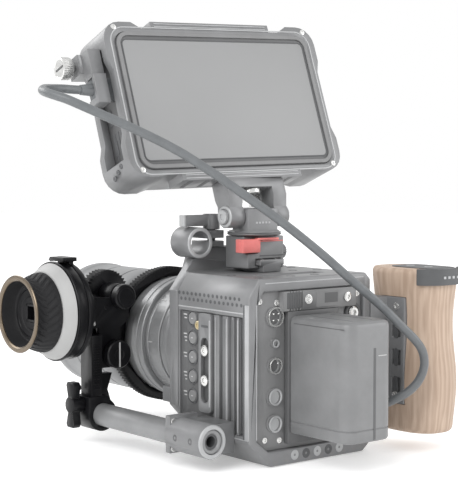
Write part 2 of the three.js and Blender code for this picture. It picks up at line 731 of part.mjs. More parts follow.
/** The monitor cage's outline: a rounded rectangle whose bumpers stand a little higher along the top. */
function cageOutline() {
  const upper = bumperCorner(2.3);
  const lower = bumperCorner(0).map(([x, z]) => [x, -z]);
  const mirror = (corner) => [...corner].reverse().map(([x, z]) => [-x, z]);
  return [...upper, ...mirror(upper), ...mirror([...lower].reverse()), ...[...lower].reverse()];
}

const RAIL_HALF_LENGTH = 46.5;

/** The monitor cage: a deep frame with an accessory rail along its top and its bottom. */
function monitorCage() {
  const [width, height] = [HOUSING_HALF_WIDTH + GAP, HOUSING_HALF_HEIGHT + GAP];
  const rails = [[48, 53.6], [-53.6, -48]]
    .map((z) => block([-RAIL_HALF_LENGTH, RAIL_HALF_LENGTH], [-8.6, 9], z));
  return cut(
    join(plateXZ(outline(cageOutline()), [-9, 25.5]), ...rails),
    plateXZ(roundedRectangle(width, height, 9), [-12, 20.3]),
    plateXZ(roundedRectangle(width - 9, height - 9, 6), [18, 30]),
    block([-90, -70], [-2.9, 19.5], [-37, 36]),
    bar(3.4, [-60, -40], 'z', [-MONITOR_X, 0, 0], 16),
  );
}

function monitorHousing() {
  const y = [HOUSING_FRONT, HOUSING_FRONT + HOUSING_DEPTH];
  return cut(
    plateXZ(roundedRectangle(HOUSING_HALF_WIDTH, HOUSING_HALF_HEIGHT, 9), y),
    plateXZ(roundedRectangle(71.3, 40.8, 4), [y[0] - 1, y[0] + 1.4]),
    block([-68.6, 68.6], [y[0], y[1] - 2.4], [-38.6, 38.6]),
    block([-80, -71], [PLUG_Y - 4.4, PLUG_Y + 4.4], [PLUG_Z - 6.7, PLUG_Z + 6.7]),
  );
}

function hdmiClamp() {
  return join(
    block([-92, -83.2], [-2, 8], [18.5, 37]),
    block([-92, -83.2], [-3.4, -0.4], [1, 20]),
    block([-92, -83.2], [-3.4, 8], [1, 5.1]),
    block([-94.5, -83.2], [7.8, 21], [24, 37]),
  );
}

function hdmiScrew() {
  return cut(
    join(
      turned([[0, -105], [6.6, -105], [7.2, -104.4], [7.2, -98], [6.6, -97.3], [0, -97.3]], 'x', 24),
      bar(2.4, [-98, -94.8], 'x', [0, 0, 0], 12),
    ),
    block([-106, -103.8], [-8, 8], [-0.8, 0.8]),
  );
}

const PLUG_Y = 4;
const PLUG_Z = 11.8;                                 // above the screen's centre

function monitorPlug() {
  return join(
    block([-91, -71.5], [PLUG_Y - 4, PLUG_Y + 4], [PLUG_Z - 6.3, PLUG_Z + 6.3]),
    turned([[0, -99.2], [3.2, -99.2], [4.1, -90.5], [0, -90.5]], 'x', 12).translate(0, PLUG_Y, PLUG_Z),
  );
}

function addMonitor() {
  const tilt = new THREE.Group();
  tilt.position.copy(TILT_AXIS);
  tilt.rotation.x = -MONITOR_TILT;
  rig.add(tilt);
  add(tilt, 'tilt_yoke', tiltYoke(), CAGE_GREY);
  add(tilt, 'monitor_screw', monitorScrew(), STEEL);

  const twisted = new THREE.Group();
  twisted.rotation.z = MONITOR_TWIST;
  tilt.add(twisted);
  const monitor = new THREE.Group();
  monitor.position.set(MONITOR_X, 0, MONITOR_Z);
  twisted.add(monitor);
  add(monitor, 'monitor_cage', monitorCage(), CAGE_GREY);
  add(monitor, 'monitor_housing', monitorHousing(), BODY_GREY);
  add(monitor, 'display_panel', block([-68.3, 68.3], [-5.4, -1.4], [-38.3, 38.3]), BLACK);
  add(monitor, 'screen_glass', plateXZ(roundedRectangle(71, 40.5, 3.8), [-9.7, -8.6]), GLASS);
  add(monitor, 'hdmi_clamp', hdmiClamp(), CAGE_GREY);
  add(monitor, 'hdmi_clamp_screw', hdmiScrew(), STEEL, [0, 15, 30.5]);
  add(monitor, 'monitor_plug', monitorPlug(), BLACK);
}

function addTopMounts() {
  add(rig, 'top_rod_clamp', topRodClamp(), CAGE_GREY);
  add(rig, 'top_clamp_lever', clampLever(), CAGE_GREY, [-18, 31.5, 0]);
  add(rig, 'nato_clamp', natoClamp(), CAGE_GREY);
  add(rig, 'nato_lever', natoLever(), RED);
  add(rig, 'nato_lock_knob', natoKnob(), CAGE_GREY, [0, 7, 127.5]);
  add(rig, 'swivel_head', swivelHead(), CAGE_GREY);
}

// ---------- wooden side grip ----------

const GRIP_X = 85;
const GRIP_Y = -52.5;
const GRIP_LOW = 11.5;
const GRIP_HIGH = 117.5;

/** Half widths in X and Y at a height: a waist near the middle and a swell for the heel of the hand below it. */
function gripHalf(z) {
  const along = (z - GRIP_LOW) / (GRIP_HIGH - GRIP_LOW);
  const wave = Math.cos(2 * Math.PI * (along - 0.3) / 0.72);
  const endRound = Math.min(1, Math.min(z - GRIP_LOW, GRIP_HIGH - z) / 4);
  const edge = 2.2 * (1 - Math.sqrt(1 - (1 - endRound) ** 2));
  return [19.4 + 1 * wave - edge, 28.4 + 1.4 * wave - edge];
}

function gripRing(z, [halfX, halfY] = gripHalf(z)) {
  const squareness = 2 / 2.6;
  const ring = [];
  for (let step = 0; step < 20; step++) {
    const angle = step * Math.PI / 10;
    const [c, s] = [Math.cos(angle), Math.sin(angle)];
    ring.push([
      GRIP_X + halfX * Math.sign(c) * Math.abs(c) ** squareness,
      GRIP_Y + halfY * Math.sign(s) * Math.abs(s) ** squareness,
      z,
    ]);
  }
  return ring;
}

const CAP_POCKET = 114.2;
const BADGE_Z = [107.5, 118];

function handleGrip() {
  const heights = [GRIP_LOW, 12.5, 15, 23, 32, 42, 54, 66, 78, 90, 102, 113.5, 116.5, GRIP_HIGH];
  return cut(
    loft(heights.map((z) => gripRing(z))),
    plateXY(roundedRectangle(13.3, 20.3, 4, GRIP_X + 2, -58), [CAP_POCKET, 120]),
    block([76.7, 96.3], [-90, -70], [CAP_POCKET, 120]),
    block([60, 70.4], [-63.3, -42.7], [29.7, 99.3]),
    block([60, 66.8], [-47.3, -20], [83.7, 99.3]),
  );
}

/** The inlaid top plate, with a thin badge that wraps down over the grip's rear. */
function handleTopPlate() {
  const base = CAP_POCKET + GAP;
  const inside = [20.8, 30.2];
  const outside = [22.4, 31.8];
  const badge = cut(
    loft(BADGE_Z.map((z) => gripRing(z, outside))),
    loft([BADGE_Z[0] - 1, BADGE_Z[1] + 1].map((z) => gripRing(z, inside))),
    block([50, 120], [-72, 0], [100, 120]),
  );
  return join(
    plateXY(roundedRectangle(13, 20, 3.8, GRIP_X + 2, -58), [base, 118]),
    block([77, 96], [-83.6, -70], [base, 118]),
    badge,
  );
}

function handleBracket() {
  return cut(
    join(
      block([65, 70.1], [-63, -43], [30, 99]),
      block([CAGE_HALF_WIDTH + GAP, 66.5], [-47, -26], [84, 99]),
    ),
    ...[42, 60, 78].map((z) => block([60, 67], [-60, -52], [z - 5, z + 5])),
  );
}

function addHandle() {
  add(rig, 'handle_grip', handleGrip(), WOOD);
  add(rig, 'handle_top_plate', handleTopPlate(), CAGE_GREY);
  add(rig, 'handle_bracket', handleBracket(), CAGE_GREY);
}

// ---------- video cable ----------

// The route runs from the plug on the camera's rear face to the plug on the monitor's left side.
const LOWER_ROUTE = [
  [33, -62.3, 33], [33, -67, 33.3], [35.3, -75, 35.5], [40.2, -81.5, 39.3], [46.5, -86, 44], [51.2, -89.5, 50.6],
  [53.1, -92, 59.5], [50.4, -93.2, 68.6], [43.9, -93, 76.5], [34, -89.5, 86.5], [23.2, -83, 98.8],
  [7.4, -73, 115], [-8.2, -63, 131.1], [-30, -51, 150.7], [-62.2, -33.8, 176.6],
];
const UPPER_ROUTE = [
  [-62.5, -33.6, 176.8], [-83.8, -22.5, 191.9], [-105.3, -12, 203.9], [-127.4, -3, 214.2], [-137.9, 2, 219.2],
  [-144.6, 6.5, 222.6], [-149.8, 16.5, 226], [-148, 26.5, 228], [-141, 36.5, 229.7],
  [-131.5, 44, 230.5], [-121, 48, 230.8], [-113.5, 48.8, 230.6], [-108.5, 48.6, 230.5],
];

function cableAlong(route) {
  const points = route.map(([x, y, z]) => new THREE.Vector3(x, y, z));
  const curve = new THREE.CatmullRomCurve3(points, false, 'centripetal');
  const section = new THREE.Shape().absarc(0, 0, CABLE_RADIUS, 0, 2 * Math.PI);
  const sweep = { extrudePath: curve, steps: 20, curveSegments: 4, bevelEnabled: false };
  return new THREE.ExtrudeGeometry(section, sweep);
}

function cameraPlug() {
  const [x, z] = CABLE_SOCKET;
  return join(
    block([x - 4.1, x + 4.1], [-53, PANEL_REAR + 1.6], [z - 7.1, z + 7.1]),
    turned([[0, -62], [3.4, -62], [5, -52.5], [0, -52.5]], 'y', 12).translate(x, 0, z),
  );
}

function addCable() {
  add(rig, 'camera_plug', cameraPlug(), BLACK);
  add(rig, 'video_cable_lower', cableAlong(LOWER_ROUTE), CABLE_GREY);
  add(rig, 'video_cable_upper', cableAlong(UPPER_ROUTE), CABLE_GREY);
}

addCamera();
addBattery();
addRod();
addLens();
addFollowFocus();
addTopMounts();
addMonitor();
addHandle();
addCable();

export default rig;
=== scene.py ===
"""The looks of a cinema camera rig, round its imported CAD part. Metres, the lens looking along +Y, +Z up."""
import math
import random

import bpy
import json
from mathutils import Matrix, Vector


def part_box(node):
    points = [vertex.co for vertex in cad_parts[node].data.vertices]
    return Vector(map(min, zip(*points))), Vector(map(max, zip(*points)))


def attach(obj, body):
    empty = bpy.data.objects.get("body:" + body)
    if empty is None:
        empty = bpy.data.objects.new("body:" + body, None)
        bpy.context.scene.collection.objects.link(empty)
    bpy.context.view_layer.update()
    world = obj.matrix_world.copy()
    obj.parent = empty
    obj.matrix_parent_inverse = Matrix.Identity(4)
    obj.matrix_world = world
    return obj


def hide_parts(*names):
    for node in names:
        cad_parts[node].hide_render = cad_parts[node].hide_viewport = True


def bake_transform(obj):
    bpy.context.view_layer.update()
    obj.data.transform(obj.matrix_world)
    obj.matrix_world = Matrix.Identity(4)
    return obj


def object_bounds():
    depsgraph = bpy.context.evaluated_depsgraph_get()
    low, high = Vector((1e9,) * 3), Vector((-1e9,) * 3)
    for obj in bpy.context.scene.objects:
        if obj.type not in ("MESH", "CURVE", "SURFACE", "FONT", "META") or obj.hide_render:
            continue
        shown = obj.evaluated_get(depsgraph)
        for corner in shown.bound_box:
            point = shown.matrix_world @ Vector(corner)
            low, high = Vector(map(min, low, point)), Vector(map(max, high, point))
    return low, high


random.seed(7)
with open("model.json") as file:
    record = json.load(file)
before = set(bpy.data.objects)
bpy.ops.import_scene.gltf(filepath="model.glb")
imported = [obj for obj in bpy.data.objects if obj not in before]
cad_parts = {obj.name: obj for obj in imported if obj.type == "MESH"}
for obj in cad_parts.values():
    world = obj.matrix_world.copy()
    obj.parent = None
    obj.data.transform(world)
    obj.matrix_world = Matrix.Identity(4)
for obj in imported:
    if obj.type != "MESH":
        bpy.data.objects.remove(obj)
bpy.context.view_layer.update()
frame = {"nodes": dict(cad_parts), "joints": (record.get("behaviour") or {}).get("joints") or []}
MM = 0.001
FINE = 0.1 * MM          # the eased edge of thin marks, lines and seams
CAGE_SIDE_X = -50.4      # the left face of the cage, in mm
REAR_FACE_Y = -44.5      # the outer face of the rear panel, in mm
BUTTONS = ("one", "two", "three", "record", "power")

# ---------- materials ----------


def node(tree, kind, **inputs):
    made = tree.nodes.new(kind)
    for name, value in inputs.items():
        made.inputs[name.replace("_", " ")].default_value = value
    return made


def mottled(tree, scale, low, high, stretch=(1, 1, 1)):
    """Noise in the object's own coordinates, mapped to a ramp from low to high colour."""
    where = node(tree, "ShaderNodeTexCoord")
    mapping = node(tree, "ShaderNodeMapping", Scale=stretch)
    noise = node(tree, "ShaderNodeTexNoise", Scale=scale, Detail=5.0, Roughness=0.6)
    ramp = tree.nodes.new("ShaderNodeValToRGB")
    ramp.color_ramp.elements[0].position = 0.32
    ramp.color_ramp.elements[1].position = 0.68
    ramp.color_ramp.elements[0].color = (*low, 1)
    ramp.color_ramp.elements[1].color = (*high, 1)
    tree.links.new(where.outputs["Object"], mapping.inputs["Vector"])
    tree.links.new(mapping.outputs["Vector"], noise.inputs["Vector"])
    tree.links.new(noise.outputs["Fac"], ramp.inputs["Fac"])
    return noise, ramp


def finish(name, colour, rough=0.5, metal=0.0, mottle=0.08, scale=60.0, stretch=(1, 1, 1), grain=0.06,
           coat=0.0, spread=0.07, shine=0.5):
    """A finish whose colour and roughness vary a little, with a fine grain in its surface."""
    made = bpy.data.materials.new(name)
    made.use_nodes = True
    tree = made.node_tree
    shader = tree.nodes["Principled BSDF"]
    shader.inputs["Metallic"].default_value = metal
    shader.inputs["Coat Weight"].default_value = coat
    shader.inputs["Specular IOR Level"].default_value = shine
    low, high = [c * (1 - mottle) for c in colour], [c * (1 + mottle) for c in colour]
    noise, ramp = mottled(tree, scale, low, high, stretch)
    tree.links.new(ramp.outputs["Color"], shader.inputs["Base Color"])
    wear = node(tree, "ShaderNodeMapRange")
    wear.inputs["To Min"].default_value = max(0.04, rough - spread)
    wear.inputs["To Max"].default_value = rough + spread
    tree.links.new(noise.outputs["Fac"], wear.inputs["Value"])
    tree.links.new(wear.outputs["Result"], shader.inputs["Roughness"])
    fine = node(tree, "ShaderNodeTexNoise", Scale=scale * 14, Detail=3.0)
    tree.links.new(noise.inputs["Vector"].links[0].from_socket, fine.inputs["Vector"])
    bump = node(tree, "ShaderNodeBump", Strength=grain, Distance=0.0003)
    tree.links.new(fine.outputs["Fac"], bump.inputs["Height"])
    tree.links.new(bump.outputs["Normal"], shader.inputs["Normal"])
    return made


def wood_finish(name, light, dark):
    """Straight vertical grain: long streaks, with fine pores between them."""
    made = finish(name, light, rough=0.55, scale=30.0, stretch=(6, 6, 0.35), grain=0.25)
    tree = made.node_tree
    shader = tree.nodes["Principled BSDF"]
    where = node(tree, "ShaderNodeTexCoord")
    mapping = node(tree, "ShaderNodeMapping", Scale=(1, 1, 0.07))
    wave = node(tree, "ShaderNodeTexWave", Scale=95.0, Distortion=9.0, Detail=5.0)
    wave.inputs["Detail Scale"].default_value = 1.6
    streaks = node(tree, "ShaderNodeTexNoise", Scale=420.0, Detail=6.0)
    ramp = tree.nodes.new("ShaderNodeValToRGB")
    ramp.color_ramp.elements[0].color = (*dark, 1)
    ramp.color_ramp.elements[0].position = 0.25
    ramp.color_ramp.elements[1].color = (*light, 1)
    ramp.color_ramp.elements[1].position = 0.8
    blend = tree.nodes.new("ShaderNodeMix")
    blend.data_type = "FLOAT"
    blend.inputs[0].default_value = 0.7
    tree.links.new(where.outputs["Object"], mapping.inputs["Vector"])
    tree.links.new(mapping.outputs["Vector"], wave.inputs["Vector"])
    tree.links.new(mapping.outputs["Vector"], streaks.inputs["Vector"])
    tree.links.new(wave.outputs["Fac"], blend.inputs[2])
    tree.links.new(streaks.outputs["Fac"], blend.inputs[3])
    tree.links.new(blend.outputs[0], ramp.inputs["Fac"])
    tree.links.new(ramp.outputs["Color"], shader.inputs["Base Color"])
    return made


def glass_finish(name, tint):
    made = finish(name, tint, rough=0.1, scale=20.0, grain=0.01, spread=0.03)
    made.node_tree.nodes["Principled BSDF"].inputs["Transmission Weight"].default_value = 0.85
    return made


LOOK = {
    "cage_grey": finish("cage_grey", (0.178, 0.18, 0.184), 0.4, 0.2),
    # A lit copy of the cage grey: painted highlight on edges, rims and lines, and the pale tone of a few small
    # parts.
    "cage_pale_and_painted_highlight": finish("cage_pale_and_painted_highlight", (0.36, 0.365, 0.37), 0.38, 0.2),
    # A lit copy of the cage grey: painted highlight bands along the cage's edges.
    "cage_glint": finish("cage_glint", (0.34, 0.344, 0.35), 0.36, 0.2),
    # A shaded copy of the cage grey: painted shade in holes, grooves, slots, notches and seams, and the own
    # dark tone of the grip cap and badge.
    "cage_dark_and_painted_shade": finish("cage_dark_and_painted_shade", (0.075, 0.077, 0.08), 0.5, 0.1),
    "body_grey": finish("body_grey", (0.168, 0.169, 0.171), 0.46, 0.05),
    "battery_grey": finish("battery_grey", (0.175, 0.177, 0.18), 0.38, 0.1, grain=0.03),
    "coated_lens": finish("coated_lens", (0.035, 0.045, 0.06), 0.08, coat=0.5, grain=0.0, spread=0.02),
    # Dark body grey: the own tone of the side panel, battery plate, monitor housing and dark screws, and
    # painted shade in seams, slots, socket wells and recesses.
    "body_dark_and_painted_shade": finish("body_dark_and_painted_shade", (0.085, 0.086, 0.088), 0.5, 0.05),
    "lens_grey": finish("lens_grey", (0.22, 0.223, 0.227), 0.36, 0.25),
    "steel": finish("steel", (0.62, 0.62, 0.61), 0.26, 0.85, scale=80, stretch=(1, 1, 6)),
    "black_metal": finish("black_metal", (0.006, 0.006, 0.007), 0.34, mottle=0.2, shine=0.22),
    "black_plastic": finish("black_plastic", (0.005, 0.005, 0.006), 0.45, mottle=0.2, shine=0.2),
    "black_rubber": finish("black_rubber", (0.011, 0.011, 0.012), 0.6, mottle=0.25, grain=0.25, shine=0.25),
    "bronze": finish("bronze", (0.15, 0.12, 0.088), 0.28, 0.9, scale=90),
    "white_disc": finish("white_disc", (0.33, 0.33, 0.328), 0.55, mottle=0.04),
    "red_metal": finish("red_metal", (0.6, 0.16, 0.15), 0.4, 0.2, mottle=0.14),
    "brass": finish("brass", (0.55, 0.47, 0.3), 0.35, 0.6),
    "board_green": finish("board_green", (0.03, 0.14, 0.07), 0.45),
    "cell_green": finish("cell_green", (0.06, 0.16, 0.1), 0.5),
    "wood": wood_finish("wood", (0.49, 0.375, 0.292), (0.345, 0.25, 0.185)),
    "clear_glass": glass_finish("clear_glass", (0.8, 0.84, 0.88)),
    "screen_grey": finish("screen_grey", (0.235, 0.237, 0.239), 0.5, scale=14, mottle=0.02, grain=0.01),
    "cable_black": finish("cable_black", (0.11, 0.117, 0.122), 0.42, mottle=0.1, scale=150),
    "label": finish("label", (0.4, 0.4, 0.4), 0.5, mottle=0.05),
    "floor": finish("floor", (0.86, 0.86, 0.86), 0.7, scale=2.0, mottle=0.01, grain=0.0),
}

# ---------- making pieces ----------


def box_mm(name):
    return [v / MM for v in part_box(name)]


def middle(name):
    low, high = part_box(name)
    return (low + high) / 2


def smooth(obj, angle=32):
    obj.data.polygons.foreach_set("use_smooth", [True] * len(obj.data.polygons))
    obj.data.set_sharp_from_angle(angle=math.radians(angle))


def bevel(obj, width, segments=2):
    made = obj.modifiers.new("bevel", "BEVEL")
    made.width = width
    made.segments = segments
    made.limit_method = "ANGLE"
    made.angle_limit = math.radians(34)
    made.harden_normals = True


def piece(name, verts, faces, look, body, slot=None, soft=0.0, place=None, angle=32):
    """A mesh that rides on a body. place turns it from its own frame to the row frame."""
    mesh = bpy.data.meshes.new(name)
    mesh.from_pydata([tuple(place @ Vector(v)) if place else tuple(v) for v in verts], [], faces)
    mesh.validate()
    mesh.update()
    obj = bpy.data.objects.new(name, mesh)
    bpy.context.scene.collection.objects.link(obj)
    mesh.materials.append(LOOK[look])
    smooth(obj, angle)
    if soft:
        bevel(obj, soft)
    if body:
        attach(obj, body)
    return obj


# Two directions across each axis, and the axis itself.
AXES = {
    "x": ((0, 1, 0), (0, 0, 1), (1, 0, 0)),
    "y": ((0, 0, 1), (1, 0, 0), (0, 1, 0)),
    "z": ((1, 0, 0), (0, 1, 0), (0, 0, 1)),
}


def turned(name, axis, centre, profile, look, body, segments=96, wave=None, **more):
    """A turned piece: profile is (radius, distance along the axis) in mm, closed off the axis."""
    u, v, w = (Vector(a) for a in AXES[axis])
    closed = profile[0][0] > 0 or profile[-1][0] > 0
    verts, faces = [], []
    for step in range(segments):
        angle = 2 * math.pi * step / segments
        for k, (radius, along) in enumerate(profile):
            r = radius + (wave(angle, along, radius) if wave else 0)
            outward = u * math.cos(angle) + v * math.sin(angle)
            verts.append(Vector(centre) + outward * r * MM + w * along * MM)
    count = len(profile)
    for step in range(segments):
        following = (step + 1) % segments
        for k in range(count if closed else count - 1):
            n = (k + 1) % count
            faces.append((step * count + k, following * count + k, following * count + n, step * count + n))
    return piece(name, verts, faces, look, body, **more)


def prism(name, corners, direction, look, body, **more):
    """A flat outline, given as points in mm, pushed along a direction in mm."""
    push = Vector(direction) * MM
    base = [Vector(c) * MM for c in corners]
    count = len(base)
    verts = base + [b + push for b in base]
    faces = [tuple(range(count))[::-1], tuple(range(count, 2 * count))]
    faces += [(i, (i + 1) % count, (i + 1) % count + count, i + count) for i in range(count)]
    return piece(name, verts, faces, look, body, **more)


def slab(name, low, high, look, body, soft=0.3 * MM, **more):
    """A block with eased edges from its low to its high corner, in mm."""
    (x0, y0, z0), (x1, y1, z1) = low, high
    return prism(name, [(x0, y0, z0), (x1, y0, z0), (x1, y1, z0), (x0, y1, z0)], (0, 0, z1 - z0), look, body,
        soft=soft, **more)


def pill(name, centre, along, across, half_long, half_wide, depth, look, body, **more):
    """A flat plate with round ends, lying in the plane of two unit directions."""
    along, across, centre = Vector(along), Vector(across), Vector(centre)
    out = along.cross(across)
    corners = []
    for end in (1, -1):
        for step in range(9):
            a = -math.pi / 2 + math.pi * step / 8
            reach = (half_long - half_wide) + half_wide * math.cos(a)
            corners.append(centre + along * end * reach + across * end * half_wide * math.sin(a))
    return prism(name, corners, out * depth, look, body, **more)


def tower(name, rings, look, body, **more):
    """A solid through rings of points with the same count, closed at both ends."""
    size = len(rings[0])
    skin = [(r * size + i, r * size + (i + 1) % size, (r + 1) * size + (i + 1) % size, (r + 1) * size + i)
        for r in range(len(rings) - 1) for i in range(size)]
    skin += [tuple(range(size))[::-1], tuple(range((len(rings) - 1) * size, len(rings) * size))]
    return piece(name, [v for ring in rings for v in ring], skin, look, body, **more)


def head(name, axis, centre, sense, radius, look, body, depth=1.0, **more):
    """A screw head with a recess, standing out along an axis. centre is in mm, on the face it sits on."""
    r, d = radius, depth
    profile = [(0, 0.35 * d), (r * 0.42, 0.35 * d), (r * 0.46, d * 0.95), (r * 0.8, d), (r, d * 0.72),
        (r, -0.2 * d)]
    return turned(name, axis, Vector(centre) * MM,
        [(a, b * sense) for a, b in profile] + [(0, -0.2 * d * sense)], look, body, segments=36, **more)


def dress(name, look, width=0.45 * MM, segments=2):
    """A CAD node's own solid, with welded corners, eased edges and a finish."""
    obj = frame["nodes"][name]
    obj.data.materials.clear()
    obj.data.materials.append(LOOK[look])
    obj.data.polygons.foreach_set("use_smooth", [True] * len(obj.data.polygons))
    weld = obj.modifiers.new("weld", "WELD")
    weld.merge_threshold = 1e-5
    if width:
        bevel(obj, width, segments)
    return obj


# ---------- the camera and the video cable ----------

VIEW_AZIMUTH = math.radians(38.744)
VIEW_DROP = math.radians(3.45)
eye = bpy.data.cameras.new("eye")
eye.sensor_width = 36.0
eye.lens = 103.85
viewer = bpy.data.objects.new("eye", eye)
bpy.context.scene.collection.objects.link(viewer)
look_along = Vector((math.sin(VIEW_AZIMUTH) * math.cos(VIEW_DROP),
    math.cos(VIEW_AZIMUTH) * math.cos(VIEW_DROP), -math.sin(VIEW_DROP)))
viewer.location = (-0.5846, -0.6931, 0.1877)
viewer.rotation_mode = "QUATERNION"
viewer.rotation_quaternion = look_along.to_track_quat("-Z", "Y")
bpy.context.scene.camera = viewer

LOWER_ROUTE = [
    (33, -60, 33), (33, -67, 33.3), (35.3, -75, 35.5), (40.2, -81.5, 39.3), (46.5, -86, 44),
    (51.2, -89.5, 50.6), (53.1, -92, 59.5), (50.4, -93.2, 68.6), (43.9, -93, 76.5), (34, -89.5, 86.5),
    (23.2, -83, 98.8), (7.4, -73, 115), (-8.2, -63, 131.1), (-30, -51, 150.7), (-62.2, -33.8, 176.6),
]
UPPER_ROUTE = [
    (-62.2, -33.8, 176.6), (-83.8, -22.5, 191.9), (-105.3, -12, 203.9), (-127.4, -3, 214.2),
    (-137.9, 2, 219.2), (-144.6, 6.5, 222.6), (-149.8, 16.5, 226), (-148, 26.5, 228), (-141, 36.5, 229.7),
    (-131.5, 44, 230.5), (-121, 48, 230.8), (-113.5, 48.8, 230.6), (-107, 48.6, 230.5),
]
CABLE_RADIUS = 2.72


def smooth_path(points, steps=12):
    """A Catmull-Rom line through the points, in mm."""
    points = [Vector(p) for p in points]
    padded = [2 * points[0] - points[1], *points, 2 * points[-1] - points[-2]]
    line = []
    for a, b, c, d in zip(padded, padded[1:], padded[2:], padded[3:]):
        for step in range(steps):
            t = step / steps
            square, cube = 2 * a - 5 * b + 4 * c - d, 3 * b - a - 3 * c + d
            line.append(0.5 * (2 * b + (c - a) * t + square * t ** 2 + cube * t ** 3))
    return line + [points[-1]]


def hose(name, line, radius, look, sides=20, slot=None, **more):
    """A round tube along a line in mm, closed at both ends."""
    side = (line[1] - line[0]).cross(Vector((0, 0, 1))).normalized()
    verts, faces = [], []
    for i, at in enumerate(line):
        ahead = (line[min(i + 1, len(line) - 1)] - line[max(i - 1, 0)]).normalized()
        side = (side - ahead * side.dot(ahead)).normalized()
        up = ahead.cross(side)
        for step in range(sides):
            a = 2 * math.pi * step / sides
            verts.append((at + (side * math.cos(a) + up * math.sin(a)) * radius) * MM)
    for i in range(len(line) - 1):
        for step in range(sides):
            n = (step + 1) % sides
            faces.append((i * sides + step, i * sides + n, (i + 1) * sides + n, (i + 1) * sides + step))
    last = (len(line) - 1) * sides
    faces += [tuple(range(sides))[::-1], tuple(range(last, last + sides))]
    return piece(name, verts, faces, look, None, slot=slot, **more)


def lay_cable(name, route, node_name):
    line = smooth_path(route)
    tube = hose(name, line, CABLE_RADIUS, "cable_black", slot="cable_black")
    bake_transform(tube)
    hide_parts(node_name)
    return tube


lay_cable("cable_from_camera", LOWER_ROUTE, "video_cable_lower")
lay_cable("cable_to_monitor", UPPER_ROUTE, "video_cable_upper")

# ---------- CAD nodes that show as they are ----------

NODE_LOOKS = {
    "cage_frame": ("cage_grey", 0.9), "cage_front_arch": ("cage_grey", 0.9),
    "top_nato_rail": ("cage_grey", 0.5), "camera_shell": ("body_grey", 0.5),
    "rear_panel": ("body_grey", 0.35), "side_panel": ("body_dark_and_painted_shade", 0.4), "heat_sink": ("cage_grey", 0.5),
    "locating_plate": ("cage_grey", 0.4), "sensor_board": ("board_green", 0.2),
    "main_board": ("board_green", 0.2), "battery_plate": ("body_dark_and_painted_shade", 0.5),
    "battery_cells": ("cell_green", 0.3), "battery_latch": ("body_grey", 0.4),
    "rod_bracket": ("cage_grey", 0.8), "lens_gear_ring": ("black_plastic", 0.0),
    "rod_clamp": ("black_metal", 0.6), "rod_clamp_wing_screw": ("black_metal", 0.9),
    "slide_arm": ("black_metal", 0.6), "gearbox": ("black_metal", 0.8), "drive_gear": ("black_plastic", 0.0),
    "stop_ring": ("black_metal", 0.5), "wheel_shaft": ("black_metal", 0.4),
    "drive_shaft": ("black_metal", 0.4), "top_rod_clamp": ("cage_grey", 0.5),
    "top_clamp_lever": ("cage_grey", 0.7), "nato_clamp": ("cage_grey", 0.8), "nato_lever": ("red_metal", 0.5),
    "nato_lock_knob": ("cage_grey", 0.5), "swivel_head": ("cage_grey", 0.6), "tilt_yoke": ("cage_grey", 0.8),
    "monitor_screw": ("steel", 0.3), "monitor_cage": ("cage_grey", 1.1),
    "monitor_housing": ("body_dark_and_painted_shade", 0.8), "display_panel": ("black_plastic", 0.3),
    "screen_glass": ("screen_grey", 0.3), "hdmi_clamp": ("cage_grey", 0.7),
    "monitor_plug": ("cable_black", 0.5), "camera_plug": ("cable_black", 0.5),
    "handle_bracket": ("cage_grey", 0.6),
}
for which in BUTTONS:
    NODE_LOOKS["button_" + which] = ("body_grey", 0.5)
for name, (look, width) in NODE_LOOKS.items():
    dress(name, look, width * MM)

# ---------- lens ----------

LENS = Vector((0, 0, middle("lens_barrel").z / MM))


def span(name, axis="y"):
    """The two ends of a CAD node along an axis, in mm."""
    first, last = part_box(name)
    return getattr(first, axis) / MM, getattr(last, axis) / MM


def stands_for(obj, name):
    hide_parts(name)
    return obj


def lens_ring(name, profile, look, body, replaced=None, slot="lens_grey", **more):
    made = turned(name, "y", LENS * MM, profile, look, body, segments=144, **more)
    if replaced:
        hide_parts(replaced)
    return made


def ribs(count, depth, duty=0.3, start=None, end=None):
    """Ribs along a ring, between two places on its axis."""

    def height(angle, along, radius):
        if start is not None and not start < along < end:
            return 0
        return depth if (angle * count / (2 * math.pi)) % 1 < duty else 0

    return height


mount_rear, mount_front = span("lens_mount_ring")
lens_ring("mount_flange", [
    (27, mount_rear), (45.6, mount_rear), (46, mount_rear + 0.5), (46, mount_rear + 4.4),
    (45.4, mount_rear + 5), (44.4, mount_rear + 5.2), (43.6, mount_rear + 6.9), (42, mount_front),
    (40, mount_front), (39.6, mount_front - 0.6), (29, mount_front - 0.6),
    (27, mount_front)], "lens_grey", "rig", "lens_mount_ring", "steel")
barrel_rear, barrel_front = span("lens_barrel")
lens_ring("lens_body", [
    (26, barrel_rear), (37.4, barrel_rear), (38, barrel_rear + 0.6), (38, 56), (37.4, 56.4), (37.4, 57.2),
    (38, 57.6), (38, 61.4), (37.4, 62), (36, 62), (36, 78), (41, 78), (41.5, 78.6), (41.5, 82.5), (41, 83),
    (41, 84), (41.5, 84.5), (41.5, 89.4), (40.9, 90), (37.6, 90), (37.6, barrel_front), (26, barrel_front)],
    "lens_grey", "rig", "lens_barrel")
lens_ring("aperture_ring", [
    (36.3, 62.4), (38.2, 62.4), (38.6, 62.8), (38.6, 64.8), (38.1, 65.2), (38.1, 74.8), (38.6, 75.2),
    (38.6, 77.2), (38.2, 77.6),
    (36.3, 77.6)], "lens_grey", "iris", "lens_iris_ring", wave=ribs(48, 0.22, 0.5, 65, 75))
lens_ring("focus_sleeve", [
    (37.9, 90.4), (39.4, 90.4), (39.8, 90.8), (39.8, 98), (39.2, 98.4), (39.2, 109.6), (39.8, 110),
    (39.8, 117.4), (39.3, 118), (37.9, 118)], "lens_grey", "focus", "lens_focus_ring")
hood_rear, hood_front = span("lens_front_barrel")
